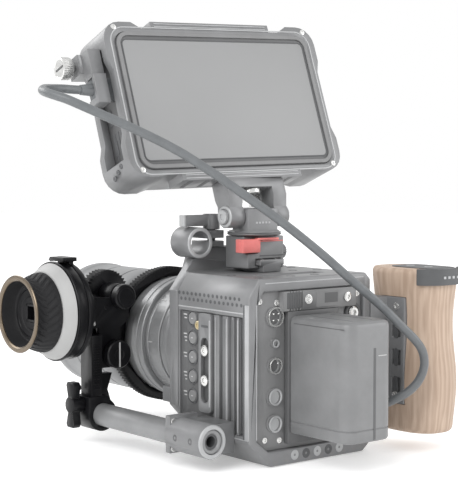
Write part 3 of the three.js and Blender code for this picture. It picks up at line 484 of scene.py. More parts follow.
lens_ring("front_barrel", [
    (38, hood_rear), (41.6, hood_rear), (42.2, 119), (43.4, 121.6), (43.5, 134), (42.9, 134.5), (42.9, 135.5),
    (43.5, 136), (43.5, 160), (43, 160.6), (43, 162), (43.5, 162.6), (43.5, 180.6), (44.2, 182.4),
    (44.6, 183.4), (44.6, hood_front - 0.8), (44, hood_front), (41.4, hood_front), (41, hood_front - 0.5),
    (40.4, 180), (39.9, 179.6), (39.9, 175), (39.4, 174.6), (39.4, 170), (37.6, 166), (37.2, 163),
    (36, 162.3), (36, 149), (38, 149)],
    "lens_grey", "rig", "lens_front_barrel")
glass_rear, glass_front = span("lens_front_glass")
glass_bulge = [(35.7 * k / 8, glass_rear + 4 * (k / 8) ** 2) for k in range(9)]
lens_ring("front_element",
    glass_bulge + [(r, glass_front + glass_rear - y) for r, y in reversed(glass_bulge)],
    "coated_lens", "rig", "lens_front_glass", "clear_glass")
for number, turn in enumerate((0.35, 2.1, 4.2)):
    place = LENS + Vector((43.4 * math.cos(turn + 2.2), 0, 43.4 * math.sin(turn + 2.2)))
    head("mount_screw_%d" % number, "y", (place.x, mount_front - 1.7, place.z), 1, 1.2, "steel", "rig",
        depth=0.7)
for step in range(40):
    turn = 2 * math.pi * step / 40
    out = Vector((math.cos(turn), 0, math.sin(turn)))
    side = out.cross(Vector((0, 1, 0)))
    at = LENS + out * 38.62
    if step % 5 == 0:
        pill("iris_mark_%d" % step, (at.x, 71.6, at.z), (0, 1, 0), side, 2.4, 0.35, -0.1, "label", "iris",
            slot="lens_grey")

# ---------- side rod ----------

ROD = middle("rod") / MM
ROD_CENTRE = (ROD.x * MM, 0, ROD.z * MM)
rod_rear, rod_front = span("rod")
turned("rod_tube", "y", ROD_CENTRE, [
    (4.8, rod_rear + 0.6), (5.4, rod_rear), (7, rod_rear), (7.5, rod_rear + 0.5), (7.5, rod_front - 0.5),
    (7, rod_front), (5.4, rod_front), (4.8, rod_front - 0.6)], "lens_grey", "rig", segments=72)
stands_for(bpy.data.objects["rod_tube"], "rod")
# Painted shade: a dark band where the thread's grooves lie in shadow.
turned("rod_thread", "y", ROD_CENTRE, [
    (3.4, rod_rear + 1.2), (4.75, rod_rear + 1.2), (4.75, rod_rear + 13),
    (3.4, rod_rear + 13)], "cage_dark_and_painted_shade", "rig",
    segments=48, slot="lens_grey")
# Painted highlight: a pale ring on the bracket's lip.
turned("bracket_lip", "y", ROD_CENTRE, [
    (7.75, -37.9), (9.7, -37.9), (10.3, -37.3), (10.3, -36.5),
    (7.75, -36.5)], "cage_pale_and_painted_highlight", "rig", segments=72,
    slot="cage_grey")
bracket_low, bracket_high = box_mm("rod_bracket")
for number, (dy, dz) in enumerate(((-6.6, 2.7), (-6.6, 19.6))):
    head("bracket_screw_%d" % number, "y", (bracket_low.x + 4.5, -6.5, bracket_low.z + dz), -1, 1.9, "steel",
        "rig", depth=0.8, slot="steel")
head("rod_set_screw", "x", (bracket_low.x + 0.8, -14, ROD.z + 0.2), -1, 2.1, "body_dark_and_painted_shade", "rig", depth=0.9,
    slot="steel")
head("rod_set_screw_rear", "x", (bracket_low.x + 0.8, -29, ROD.z + 0.2), -1, 2.1, "body_dark_and_painted_shade", "rig",
    depth=0.9, slot="steel")

# ---------- follow focus ----------

WHEEL = middle("wheel_shaft") / MM
WHEEL_CENTRE = (0, WHEEL.y * MM, WHEEL.z * MM)
wheel_far, wheel_near = span("hand_wheel", "x")
GRIP_TURNS = 30


def chevrons(angle, along, radius):
    """Slanted ribs that meet in a V half way across the grip; only its outside has them."""
    across = (along - wheel_far) / (wheel_near - wheel_far)
    if radius < 21.4 or not 0.16 < across < 0.9:
        return 0
    phase = GRIP_TURNS * angle / (2 * math.pi) + 2.6 * abs(across - 0.5)
    return 0.42 if phase % 1 < 0.52 else 0


grip_line = [(26.0, -110.6), (25.8, -112), (25.4, -113)]
for k in range(1, 24):
    t = k / 24
    grip_line.append((25.4 - 3.9 * math.sin(math.pi * t * 0.5) ** 1.3 + 2.3 * max(0, (t - 0.5) / 0.5) ** 1.8,
        -113 - 13.5 * t))
outer = grip_line + [(23.9, -126.6), (24.2, -127.4)]
inner = [(21.2, -127.6), (20.6, -125.6), (19.6, -121.4), (18.6, -119.4), (17.4, -118.6), (12.6, -118.3),
    (11.8, -117.6), (11.2, -117.6), (10.4, -118.2), (6.4, -118.2), (6.0, -117.9), (6.0, -112.4), (0, -112.4)]
grip = turned("wheel_grip", "x", WHEEL_CENTRE, [(0, -110.6)] + outer + inner, "black_rubber", "wheel",
    segments=360, wave=chevrons, slot="black_rubber", angle=26)
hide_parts("hand_wheel")
turned("wheel_rim", "x", WHEEL_CENTRE, [
    (24.2, -127.3), (24.9, -127.7), (25.1, -128.4), (24.7, -128.9), (23.7, -129.05), (22.2, -128.9),
    (21.3, -128.2), (21.2, -127.5)], "bronze", "wheel", slot="black_metal")
socket = Vector((0, WHEEL.y, WHEEL.z))
for number, (dy, dz, wide, tall) in enumerate(((-5, 0, 0.8, 5.8), (5, 0, 0.8, 5.8), (0, 5, 5.8, 0.8),
        (0, -5, 5.8, 0.8))):
    slab("socket_wall_%d" % number, (-118.6, socket.y + dy - wide, socket.z + dz - tall),
        (-112.6, socket.y + dy + wide, socket.z + dz + tall), "black_metal", "wheel", slot="black_metal")
turned("face_ring", "x", WHEEL_CENTRE, [
    (15.4, -118.4), (15.8, -119.1), (16.9, -119.3), (17.5, -118.6), (17.2, -118.2)], "black_metal", "wheel",
    slot="black_metal")
disc_far, disc_near = span("marking_disc", "x")
disc = turned("marking_cone", "x", WHEEL_CENTRE, [
    (3.4, disc_near), (31, disc_near), (31.5, disc_near - 0.4), (31.2, disc_near - 1), (27, disc_far + 0.3),
    (26.4, disc_far), (3.4, disc_far)], "white_disc", "wheel", segments=160)
stands_for(disc, "marking_disc")
turned("disc_backing", "x", WHEEL_CENTRE, [
    (30, -102.4), (32.2, -102.4), (32.6, -102), (32.6, -101), (32.2, -100.6),
    (30, -100.6)], "black_metal", "wheel",
    segments=160, slot="black_metal")

KNOB = middle("slide_knob") / MM
KNOB_CENTRE = (KNOB.x * MM, 0, KNOB.z * MM)
turned("slide_knob_cap", "y", KNOB_CENTRE, [
    (0, 77.7), (3.4, 77.7), (3.8, 77.4), (7.6, 77.2), (8.6, 77.2), (9.4, 78), (9.4, 82.6), (8.7, 83.8),
    (4, 84.1), (0, 84.1)],
    "black_metal", "slide_lock", segments=96, wave=ribs(30, -0.35, 0.3, 78.2, 82.5), slot="black_metal")
stem = turned("slide_knob_stem", "y", KNOB_CENTRE, [(0, 84), (2.1, 84), (2.1, 88.6), (0, 88.6)],
    "steel", "slide_lock", segments=24, slot="steel")
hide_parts("slide_knob")
slab("slide_knob_slot", (KNOB.x - 0.55, 76.95, KNOB.z - 8.2), (KNOB.x + 0.55, 77.35, KNOB.z + 8.2), "label",
    "slide_lock", soft=FINE, slot="steel")
DRIVE = middle("drive_shaft") / MM
turned("drive_cap", "y", (DRIVE.x * MM, 0, DRIVE.z * MM), [
    (0, 76.8), (5.6, 76.8), (6.4, 77.3), (7.4, 76.9), (8.3, 77.8), (8.4, 82),
    (0, 82)], "black_metal", "drive",
    segments=96, slot="black_metal")
box_low = box_mm("gearbox")[0]
for number, (dx, dz) in enumerate(((4.5, -20), (4.5, -4), (14.5, -9.5))):
    head("box_screw_%d" % number, "y", (box_low.x + 10 + dx, box_low.y + 5.6, box_low.z + 50 + dz), -1, 1.5,
        "steel" if number == 0 else "black_metal", "follow_focus", depth=0.6, slot="steel")
clamp_low = box_mm("rod_clamp")[0]
head("clamp_screw", "x", (clamp_low.x + 0.3, 92, 36.5), -1, 2.1, "black_metal", "follow_focus", depth=0.8,
    slot="black_metal")
arm_low = box_mm("slide_arm")[0]
for k in range(9):
    slab("arm_rack_%d" % k, (arm_low.x + 1.6, arm_low.y - 0.35, 36 + k * 3.4),
        (arm_low.x + 6.4, arm_low.y + 0.1, 37.8 + k * 3.4),
        "black_metal", "follow_focus", soft=0.15 * MM, slot="black_metal")
head("arm_glint_screw", "x", (arm_low.x, 86.5, 66), -1, 1.7, "steel", "follow_focus", depth=0.7, slot="steel")

# ---------- battery ----------

case_low, case_high = box_mm("battery_case")


def rounded_case(inset, z):
    """The battery's outline at a height: square at the plate, round at the rear."""
    half = (case_high.x - case_low.x) / 2 - inset
    centre = (case_high.x + case_low.x) / 2
    rear = case_low.y + inset
    radius = 8.5 - inset * 0.4
    ring = [(centre - half, case_high.y, z)]
    for step in range(10):
        a = math.pi + math.pi / 2 * step / 9
        ring.append((centre - half + radius + radius * math.cos(a), rear + radius + radius * math.sin(a), z))
    for step in range(10):
        a = -math.pi / 2 + math.pi / 2 * step / 9
        ring.append((centre + half - radius + radius * math.cos(a), rear + radius + radius * math.sin(a), z))
    ring.append((centre + half, case_high.y, z))
    return [Vector(p) * MM for p in ring]


levels = [(2.2, case_low.z), (0.7, case_low.z + 0.5), (0, case_low.z + 2), (0, 26.6), (0.35, 26.8),
    (0.35, 27.4), (0, 27.6),
    (0, case_high.z - 3.4), (0.5, case_high.z - 1.4), (1.6, case_high.z - 0.4), (3.2, case_high.z)]
rings = [rounded_case(inset, z) for inset, z in levels]
case = tower("battery_shell", rings, "battery_grey", "battery", angle=30)
stands_for(case, "battery_case")
# Painted shade in the groove down the battery's rear.
slab("battery_seam", (1.6, case_low.y - 0.12, case_low.z + 1.5), (3.6, case_low.y + 0.5, 75.8), "body_dark_and_painted_shade",
    "battery", soft=FINE, slot="body_grey")
slab("battery_label", (5.6, case_low.y - 0.12, 70.6), (12.4, case_low.y + 0.3, 71.2), "label", "battery",
    soft=FINE, slot="body_grey")
slab("battery_side_line", (case_low.x - 0.12, -96, 87.4), (case_low.x + 0.3, -52, 87.9), "body_dark_and_painted_shade",
    "battery", soft=FINE, slot="body_grey")
for number, x in enumerate((-8, 8)):
    slab("battery_top_line_%d" % number, (x - 0.3, case_low.y + 8, case_high.z - 0.3),
        (x + 0.3, case_high.y - 6, case_high.z + 0.1), "body_dark_and_painted_shade", "battery", soft=FINE, slot="body_grey")

# ---------- wooden grip ----------

grip_low, grip_high = box_mm("handle_grip")
GRIP = (grip_low + grip_high) / 2
SQUARENESS = 2 / 2.6


def grip_half(z):
    """Half widths of the wooden grip in X and Y at a height, with a waist and a swell below it."""
    along = (z - grip_low.z) / (grip_high.z - grip_low.z)
    wave = math.cos(2 * math.pi * (along - 0.3) / 0.72)
    end = min(1, (z - grip_low.z) / 4, (grip_high.z - z) / 4)
    edge = 2.2 * (1 - math.sqrt(max(0, 1 - (1 - end) ** 2)))
    return 19.38 + wave - edge, 28.38 + 1.4 * wave - edge


def grip_ring(z, grow=0.0, count=72, halves=None):
    half_x, half_y = halves or grip_half(z)
    ring = []
    for step in range(count):
        a = 2 * math.pi * step / count
        c, n = math.cos(a), math.sin(a)
        ring.append(Vector((GRIP.x + (half_x + grow) * math.copysign(abs(c) ** SQUARENESS, c),
            GRIP.y + (half_y + grow) * math.copysign(abs(n) ** SQUARENESS, n), z)) * MM)
    return ring


def carve(obj, *tools):
    """Cuts the tools out of a piece and removes them."""
    for tool in tools:
        cutter = obj.modifiers.new("carve", "BOOLEAN")
        cutter.operation = "DIFFERENCE"
        cutter.solver = "EXACT"
        cutter.object = tool
    done = bpy.data.meshes.new_from_object(obj.evaluated_get(bpy.context.evaluated_depsgraph_get()))
    obj.modifiers.clear()
    obj.data = done
    for tool in tools:
        bpy.data.objects.remove(tool)
    smooth(obj)


heights = [grip_low.z + d for d in (0, 0.15, 0.5, 1, 1.8, 2.8, 4)]
heights += [grip_low.z + 4 + (grip_high.z - grip_low.z - 8) * k / 30 for k in range(1, 31)]
heights += [grip_high.z - d for d in (2.8, 1.8, 1, 0.5, 0.15, 0)]
grip_wood = tower("wooden_grip", [grip_ring(z) for z in heights], "wood", "rig", angle=50)
bracket_low, bracket_high = box_mm("handle_bracket")
carve(grip_wood,
    slab("cut_a", (60, bracket_low.y - 0.3, bracket_low.z - 0.3), (70.4, -42.7, bracket_high.z + 0.3), "wood",
        None, soft=0),
    slab("cut_b", (60, -47.3, 83.7), (66.8, -20, bracket_high.z + 0.3), "wood", None, soft=0))
stands_for(grip_wood, "handle_grip")
plate_low, plate_high = box_mm("handle_top_plate")
top_ring = []
for step in range(48):
    a = 2 * math.pi * step / 48
    top_ring.append(Vector((GRIP.x + 2 + 12.8 * math.copysign(abs(math.cos(a)) ** 0.45, math.cos(a)),
        -58 + 19.8 * math.copysign(abs(math.sin(a)) ** 0.45, math.sin(a)), 0)))
cap_heights = (grip_high.z - 0.6, plate_high.z - 0.3, plate_high.z)
cap = tower("grip_cap", [[(p + Vector((0, 0, z))) * MM for p in top_ring] for z in cap_heights],
    "cage_dark_and_painted_shade", "rig")
badge_rings = []
for z in (plate_low.z, plate_high.z):
    badge_rings.append([p for p in grip_ring(z, 1.75, 96, (20.5, 29.9)) if p.y < -0.0722])
inner = [[p for p in grip_ring(z, 0.25, 96, (20.5, 29.9)) if p.y < -0.0722] for z in (plate_low.z,
    plate_high.z)]
badge = tower("grip_badge", [badge_rings[0] + inner[0][::-1], badge_rings[1] + inner[1][::-1]], "cage_dark_and_painted_shade",
    "rig", soft=0.25 * MM)
slab("badge_bridge", (77, -83.2, plate_high.z - 2.2), (96, -76, plate_high.z), "cage_dark_and_painted_shade", "rig",
    slot="cage_grey")
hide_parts("handle_top_plate")
for number, (dx, dy) in enumerate(((0, -8), (0, 8))):
    head("cap_screw_%d" % number, "z", (GRIP.x + 2 + dx, -55 + dy, plate_high.z - 0.35), 1, 3.2, "cage_pale_and_painted_highlight",
        "rig", depth=0.4, slot="steel")
for number in range(4):
    slab("badge_mark_%d" % number, (79 + number * 4, -84.25, 111.6), (81.0 + number * 4, -83.8, 113.2),
        "cage_pale_and_painted_highlight", "rig", soft=FINE, slot="cage_grey")
# Painted shade in the grip strip's slots.
for number, z in enumerate((42, 60, 78)):
    pill("strip_slot_%d" % number, (64.95, -56, z), (0, 0, 1), (0, 1, 0), 5.8, 2.2, 0.2, "cage_dark_and_painted_shade", "rig",
        slot="cage_grey")
head("strip_screw", "x", (65.1, -56, 35.5), -1, 2.4, "steel", "rig", depth=0.9, slot="steel")
head("strip_screw_top", "x", (65.1, -56, 93), -1, 2.4, "steel", "rig", depth=0.9, slot="steel")

# ---------- left side of the camera ----------

side_x = middle("side_panel").x / MM - 1.4
for number, which in enumerate(BUTTONS):
    at = middle("button_" + which) / MM
    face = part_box("button_" + which)[0].x / MM
    turned("cap_" + which, "x", (0, at.y * MM, at.z * MM), [
        (0, face + 0.05), (2.1, face + 0.05), (2.5, face - 0.1), (3.5, face - 0.1), (3.8, face + 0.3),
        (3.8, face + 1), (0, face + 1)],
        "body_grey", "button_" + which + "_body", segments=40, slot="body_grey")
    # Painted shade: a dark ring in the gap round each button.
    turned("rim_" + which, "x", (0, at.y * MM, at.z * MM), [
        (4.35, side_x - 0.5), (5, side_x - 0.5), (5.2, side_x - 0.3), (5.2, side_x + 0.2),
        (4.35, side_x + 0.2)], "cage_dark_and_painted_shade", "rig",
        segments=40, slot="body_grey")
    for line in range(2 + number % 2):
        slab("word_%s_%d" % (which, line), (side_x - 0.14, at.y + 6.2, at.z + 1.6 - line * 2.2),
            (side_x + 0.1, at.y + 9.6 - line * 0.8, at.z + 2.4 - line * 2.2), "label", "rig", soft=0.05 * MM,
            slot="body_grey")
    slab("glyph_%s" % which, (face - 0.2, at.y - 0.9, at.z - 0.3), (face + 0.2, at.y + 0.9, at.z + 0.3),
        "label", "button_" + which + "_body", soft=0.05 * MM, slot="body_grey")
turned("antenna_socket", "x", (0, 3.6 * MM, 83.7 * MM), [
    (0, side_x + 0.3), (0, side_x - 1), (1.2, side_x - 1), (1.4, side_x - 1.7), (2.4, side_x - 1.7),
    (2.8, side_x - 1.3), (3, side_x + 0.3)],
    "brass", "rig", segments=40, slot="steel")
plate_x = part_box("locating_plate")[0].x / MM
for number, z in enumerate((68.9, 50.1)):
    head("plate_screw_%d" % number, "x", (plate_x + 0.2, -5.4, z), -1, 3.5, "steel", "rig", depth=1.0,
        slot="steel")
# Painted shade in the locating plate's groove.
pill("plate_groove", (plate_x - 0.05, -5.4, 84), (0, 1, 0), (0, 0, 1), 3.6, 0.8, 0.15, "cage_dark_and_painted_shade", "rig",
    slot="cage_grey")
# Painted shade in the strip's holes.
for row, z in enumerate((99.6, 103.2)):
    for k in range(15):
        turned("strip_hole_%d_%d" % (row, k), "x", (0, (21 - k * 4.3 + row * 2.1) * MM, z * MM), [
            (0, CAGE_SIDE_X + 0.35), (0, CAGE_SIDE_X - 0.1), (0.9, CAGE_SIDE_X - 0.15),
            (1.15, CAGE_SIDE_X - 0.07), (1.25, CAGE_SIDE_X + 0.35)],
            "cage_dark_and_painted_shade", "rig", segments=16, slot="cage_grey")
# Painted highlights along the edges of the side's rails.
slab("side_rail_line", (CAGE_SIDE_X - 0.2, -46, 94.2), (CAGE_SIDE_X + 0.2, 24, 95), "cage_pale_and_painted_highlight", "rig",
    slot="cage_grey")
slab("side_rail_line_low", (CAGE_SIDE_X - 0.2, -46, 17.6), (CAGE_SIDE_X + 0.2, 24, 18.3), "cage_pale_and_painted_highlight", "rig",
    slot="cage_grey")
sink_low, sink_high = box_mm("heat_sink")
# Fin edges in turn: painted highlight and painted shade.
for number, y in enumerate((-13.6, -22.4, -24.8, -30.6, -35.6, -38.6)):
    slab("fin_edge_%d" % number, (-50.35, y - 0.35, sink_low.z + 1.5), (-50.0, y + 0.35, sink_high.z - 1.5),
        "cage_pale_and_painted_highlight" if number % 2 == 0 else "cage_dark_and_painted_shade", "rig", soft=FINE, slot="cage_grey")
# Painted highlight bands on the cage's rear edge and beside the locating plate, with a painted shade line in
# the groove between.
slab("cage_edge_band", (-50.8, -46.4, 18), (-50.1, -42.6, 100), "cage_glint", "rig", soft=0.3 * MM,
    slot="cage_grey")
slab("cage_edge_groove", (-50.6, -42.6, 18), (-50.2, -41.2, 100), "cage_dark_and_painted_shade", "rig", soft=FINE,
    slot="cage_grey")
slab("cage_inner_line", (-45.2, -47.3, 18), (-44.5, -46.9, 100), "cage_glint", "rig", soft=0.2 * MM,
    slot="cage_grey")
slab("plate_edge", (plate_x - 0.3, -11.4, 34), (plate_x + 0.3, -9.9, 88), "cage_glint", "rig", soft=0.2 * MM,
    slot="cage_grey")

# ---------- rear ----------

SOCKET_X = -28.0
panel_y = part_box("rear_panel")[0].y / MM


def rear_ring(name, z, radius, look, inside="body_dark_and_painted_shade", pins=0):
    turned(name + "_ring", "y", (SOCKET_X * MM, 0, z * MM), [
        (radius - 1.1, REAR_FACE_Y - 0.2), (radius - 0.9, REAR_FACE_Y - 1.2),
        (radius - 0.2, REAR_FACE_Y - 1.3), (radius, REAR_FACE_Y - 1),
        (radius + 0.1, REAR_FACE_Y + 0.2)], look, "rig", segments=56, slot="steel")
    # The well is painted shade inside the socket.
    turned(name + "_well", "y", (SOCKET_X * MM, 0, z * MM),
        [(0, REAR_FACE_Y - 0.3), (radius - 0.9, REAR_FACE_Y - 0.5), (radius - 0.9, REAR_FACE_Y),
            (0, REAR_FACE_Y)],
        inside, "rig", segments=40, slot="body_grey")
    for k in range(pins):
        turn = math.pi / 4 + 2 * math.pi * k / pins
        px, pz = SOCKET_X + 0.45 * radius * math.cos(turn), z + 0.45 * radius * math.sin(turn)
        turned("%s_pin_%d" % (name, k), "y", (px * MM, 0, pz * MM),
            [(0, REAR_FACE_Y - 1.3), (0.4, REAR_FACE_Y - 1.25), (0.6, REAR_FACE_Y - 1), (0.6, REAR_FACE_Y),
                (0, REAR_FACE_Y)],
            "steel", "rig", segments=14, slot="steel")


rear_ring("audio_socket", 91.6, 6.2, "steel", pins=4)
rear_ring("small_socket", 75.3, 2.6, "cage_pale_and_painted_highlight")
rear_ring("power_socket", 61.5, 5.1, "steel", pins=1)
for number, z in enumerate((42.4, 25.7)):
    turned("rear_disc_%d" % number, "y", (SOCKET_X * MM, 0, z * MM), [
        (0, REAR_FACE_Y - 0.9), (3.9, REAR_FACE_Y - 0.9), (4.2, REAR_FACE_Y - 1.2), (4.9, REAR_FACE_Y - 1.2),
        (5.4, REAR_FACE_Y - 0.8), (5.5, REAR_FACE_Y), (0, REAR_FACE_Y)],
        "cage_pale_and_painted_highlight", "rig", segments=56, slot="steel")
for number, (x, z) in enumerate(((-40.6, 101.6), (-27, 100.2), (-36.5, 16.6), (-24.8, 15.4), (40, 14),
        (40.5, 102))):
    head("panel_screw_%d" % number, "y", (x, REAR_FACE_Y + 0.1, z), -1, 2.0, "steel", "rig", depth=0.8,
        slot="steel")
slab("bar_pad", (-22, panel_y - 0.15, 96.4), (-10.6, panel_y + 0.2, 106.2), "cage_dark_and_painted_shade", "rig",
    slot="cage_grey")
# Painted shade between the bar's ribs.
for k in range(6):
    slab("bar_rib_%d" % k, (-21.4 + k * 1.9, panel_y - 0.3, 96.8), (-20.5 + k * 1.9, panel_y - 0.05, 105.8),
        "body_dark_and_painted_shade", "rig", soft=FINE, slot="cage_grey")
head("bar_screw_left", "y", (-4.4, panel_y, 101.4), -1, 3.0, "steel", "rig", depth=0.33, slot="steel")
head("bar_screw_right", "y", (28.4, panel_y, 101.0), -1, 3.0, "steel", "rig", depth=1.1, slot="steel")
slab("bar_step", (2, panel_y - 0.2, 96), (21, panel_y + 0.2, 106.4), "body_grey", "rig", slot="cage_grey")
# Painted shade in the bar's window.
slab("bar_window", (9, panel_y - 0.33, 98.4), (20, panel_y - 0.1, 104.6), "body_dark_and_painted_shade", "rig",
    slot="cage_grey")
# Painted shade in the recess round the knob.
turned("knob_recess", "y", (36.4 * MM, 0, 90 * MM), [
    (4.6, REAR_FACE_Y - 0.1), (4.8, REAR_FACE_Y - 1.5), (6.2, REAR_FACE_Y - 1.6), (6.8, REAR_FACE_Y - 1),
    (6.8, REAR_FACE_Y)], "body_dark_and_painted_shade", "rig",
    segments=56, slot="body_grey")
head("hex_knob", "y", (36.4, REAR_FACE_Y - 0.2, 90), -1, 4.2, "steel", "rig", depth=2.2, slot="steel")
# Painted highlight strip on the rear's edge.
slab("rear_trim", (-43.4, REAR_FACE_Y - 0.35, 56), (-42.4, REAR_FACE_Y + 0.1, 96), "cage_pale_and_painted_highlight", "rig",
    soft=0.15 * MM, slot="body_grey")
plug = middle("camera_plug") / MM
# Painted shade in the plug's seam.
slab("plug_seam", (plug.x - 4.25, -51.4, 25.8), (plug.x + 4.25, -50.9, 40.2), "cage_dark_and_painted_shade", "rig", soft=FINE,
    slot="cable_black")

# ---------- cage ----------

cage_low, cage_high = box_mm("cage_frame")
# The holes under the cage take painted shade and painted highlight in turn.
for k in range(5):
    x = -14 + k * 9.4
    turned("floor_hole_%d" % k, "y", (x * MM, 0, 5.2 * MM), [
        (0, cage_low.y + 0.2), (0.9, cage_low.y - 0.02), (1.7, cage_low.y - 0.1), (2.6, cage_low.y - 0.25),
        (3.1, cage_low.y - 0.1),
        (3.2, cage_low.y + 0.2)], "cage_dark_and_painted_shade" if k % 2 else "cage_pale_and_painted_highlight", "rig", segments=32,
            slot="cage_grey")
# Painted highlight along the roof's rear edge.
slab("roof_line", (-38, cage_low.y - 0.15, cage_high.z - 3.1), (44, cage_low.y + 0.2, cage_high.z - 2.4),
    "cage_pale_and_painted_highlight", "rig", soft=FINE, slot="cage_grey")
# Painted shade in the roof's holes.
for number, (x, y) in enumerate(((-36, -38), (-36, -12), (36, -38), (36, -12), (36, 14), (-10, -38),
        (10, -38), (20, -6))):
    turned("roof_hole_%d" % number, "z", (x * MM, y * MM, 0), [
        (0, cage_high.z - 0.3), (1.6, cage_high.z + 0.02), (2.6, cage_high.z + 0.12),
        (3.0, cage_high.z + 0.1), (3.2, cage_high.z - 0.3)],
        "cage_dark_and_painted_shade", "rig", segments=28, slot="cage_grey")
for number, (x, y) in enumerate(((-6.2, -5.8), (6.2, -5.8))):
    head("rail_screw_%d" % number, "z", (x * 0.9, y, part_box("top_nato_rail")[1].z / MM - 0.2), 1, 1.7,
        "steel", "rig", depth=0.3, slot="steel")
arch_high = box_mm("cage_front_arch")[1]
for number, (x, z) in enumerate(((-46, 96), (-46, 38), (46, 96), (46, 38))):
    head("arch_screw_%d" % number, "y", (x, 33.9 if z > 50 else arch_high.y - 0.1, z), 1, 2.1, "steel", "rig",
        depth=0.7, slot="steel")

# ---------- monitor ----------

tilt_joint = next(j for j in frame["joints"] if j["name"] == "tilt_turn")
MONITOR = (Matrix.Translation(Vector(tilt_joint["pos_m"])) @ Matrix.Rotation(math.radians(-19.6), 4, "X")
    @ Matrix.Rotation(math.radians(-4.5), 4, "Z") @ Matrix.Translation(Vector((-7.3, 0, 77)) * MM))
YOKE = Matrix.Translation(Vector(tilt_joint["pos_m"])) @ Matrix.Rotation(math.radians(-19.6), 4, "X")


def on_monitor(obj, place=MONITOR, body="monitor"):
    """Moves a piece made in the monitor's own frame to where the monitor is."""
    obj.parent = None
    obj.data.transform(place)
    obj.matrix_world = Matrix.Identity(4)
    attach(obj, body)
    return obj


def frame_loop(name, half_x, half_z, radius, width, y_range, look, slot):
    """A rounded rectangular ring in the monitor's own frame."""
    outer, inner = [], []
    for ring, grow in ((outer, 0.0), (inner, -width)):
        for cx, cz, first in ((1, 1, 0), (-1, 1, 90), (-1, -1, 180), (1, -1, 270)):
            for step in range(9):
                a = math.radians(first + 90 * step / 8)
                reach = radius + grow
                ring.append((cx * (half_x - radius) + reach * math.cos(a),
                    cz * (half_z - radius) + reach * math.sin(a)))
    y0, y1 = y_range
    verts = [(x, y, z) for y in (y0, y1) for ring in (outer, inner) for x, z in ring]
    verts = [tuple(c * MM for c in v) for v in verts]
    n = len(outer)
    faces = []
    for i in range(n):
        j = (i + 1) % n
        faces += [(i, j, n + j, n + i), (2 * n + i, 3 * n + i, 3 * n + j, 2 * n + j),
            (i, 2 * n + i, 2 * n + j, j), (n + i, n + j, 3 * n + j, 3 * n + i)]
    return on_monitor(piece(name, verts, faces, look, None, slot=slot, soft=0.3 * MM))


frame_loop("bezel_lip", 75.0, 45.6, 9, 2.6, (-10.6, -9.6), "body_grey", "body_grey")
# Painted shade in the gap round the bezel and a painted highlight along the cage's edge.
frame_loop("bezel_line", 71.4, 40.9, 4, 0.8, (-9.95, -8.7), "cage_dark_and_painted_shade", "body_grey")
frame_loop("cage_line", 78.6, 49.6, 11, 0.9, (-9.25, -8.8), "cage_pale_and_painted_highlight", "cage_grey")
# Painted highlight lines along each rail and painted shade in its notches.
for side, rail_z, lines in (("top", 53.6, (50.2, 52.2)), ("bottom", -53.6, (-52.3, -50.2))):
    for number, z in enumerate(lines):
        on_monitor(slab("%s_rail_line_%d" % (side, number), (-44, -8.95, z - 0.3), (44, -8.5, z + 0.3),
            "cage_pale_and_painted_highlight", None, soft=0.15 * MM, slot="cage_grey"))
    for number in range(7):
        x = -39 + number * 13
        out = 1 if rail_z > 0 else -1
        on_monitor(slab("%s_rail_notch_%d" % (side, number), (x - 1.6, -6, rail_z - 0.1 + out * 0.05),
            (x + 1.6, 6.4, rail_z + 0.1 + out * 0.05), "cage_dark_and_painted_shade", None, soft=0.05 * MM, slot="cage_grey"))
for number, (x, z) in enumerate(((-74.5, 49), (74.5, 49), (-74.5, -46), (74.5, -46))):
    on_monitor(head("bumper_screw_%d" % number, "y", (x, -9, z), -1, 1.9, "steel", None, depth=0.7,
        slot="steel"))
    on_monitor(head("bumper_back_screw_%d" % number, "y", (x, 25.4, z), 1, 1.9, "steel", None, depth=0.7,
        slot="steel"))
# Painted shade in the side vents, holes and ports.
for number in range(4):
    on_monitor(slab("side_vent_%d" % number, (-75.5, 0 + number * 4.4, -33),
        (-75.15, 2.2 + number * 4.4, -14), "cage_dark_and_painted_shade", None, soft=FINE, slot="body_grey"))
for number, z in enumerate((-39.5, -42, -44.4)):
    on_monitor(turned("side_hole_%d" % number, "x", (0, (2 + number * 5) * MM, z * MM), [
        (0, -82.4), (0.9, -82.8), (1.5, -83.0), (1.8, -82.6), (1.8, -82.0),
        (0, -82.0)], "cage_dark_and_painted_shade", None, segments=24, slot="cage_grey"))
for number, z in enumerate((-24, -4, 26)):
    on_monitor(slab("port_%d" % number, (-75.6, 12.4, z - 5), (-75.1, 16.6, z + 5), "cage_dark_and_painted_shade", None,
        soft=0.15 * MM, slot="body_grey"))
on_monitor(slab("back_label", (-30, 20.0, -12), (30, 20.25, 16), "body_grey", None, slot="body_grey"))
# Painted shade in the back vents.
for number in range(9):
    on_monitor(slab("back_vent_%d" % number, (-36 + number * 8, 19.9, 22), (-33.4 + number * 8, 20.3, 31),
        "cage_dark_and_painted_shade", None, soft=FINE, slot="body_grey"))

thumb = middle("hdmi_clamp_screw") / MM
thumb_local = MONITOR.inverted() @ (thumb * MM) / MM


def knurl(angle, along, radius):
    return -0.3 if radius > 6.4 and math.sin(36 * angle) > 0.2 and -104.4 < along < -98.2 else 0


thumb_screw = on_monitor(turned("thumb_screw", "x", (0, thumb_local.y * MM, thumb_local.z * MM), [
    (0, -104.4), (5.6, -104.4), (6.3, -104.9), (7.0, -104.5), (7.15, -103.8), (7.15, -98.6), (6.6, -97.4),
    (3.2, -97.4), (2.4, -96.8), (2.4, -94.9),
    (0, -94.9)], "steel", None, segments=144, wave=knurl, slot="steel"), body="plug_screw")
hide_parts("hdmi_clamp_screw")
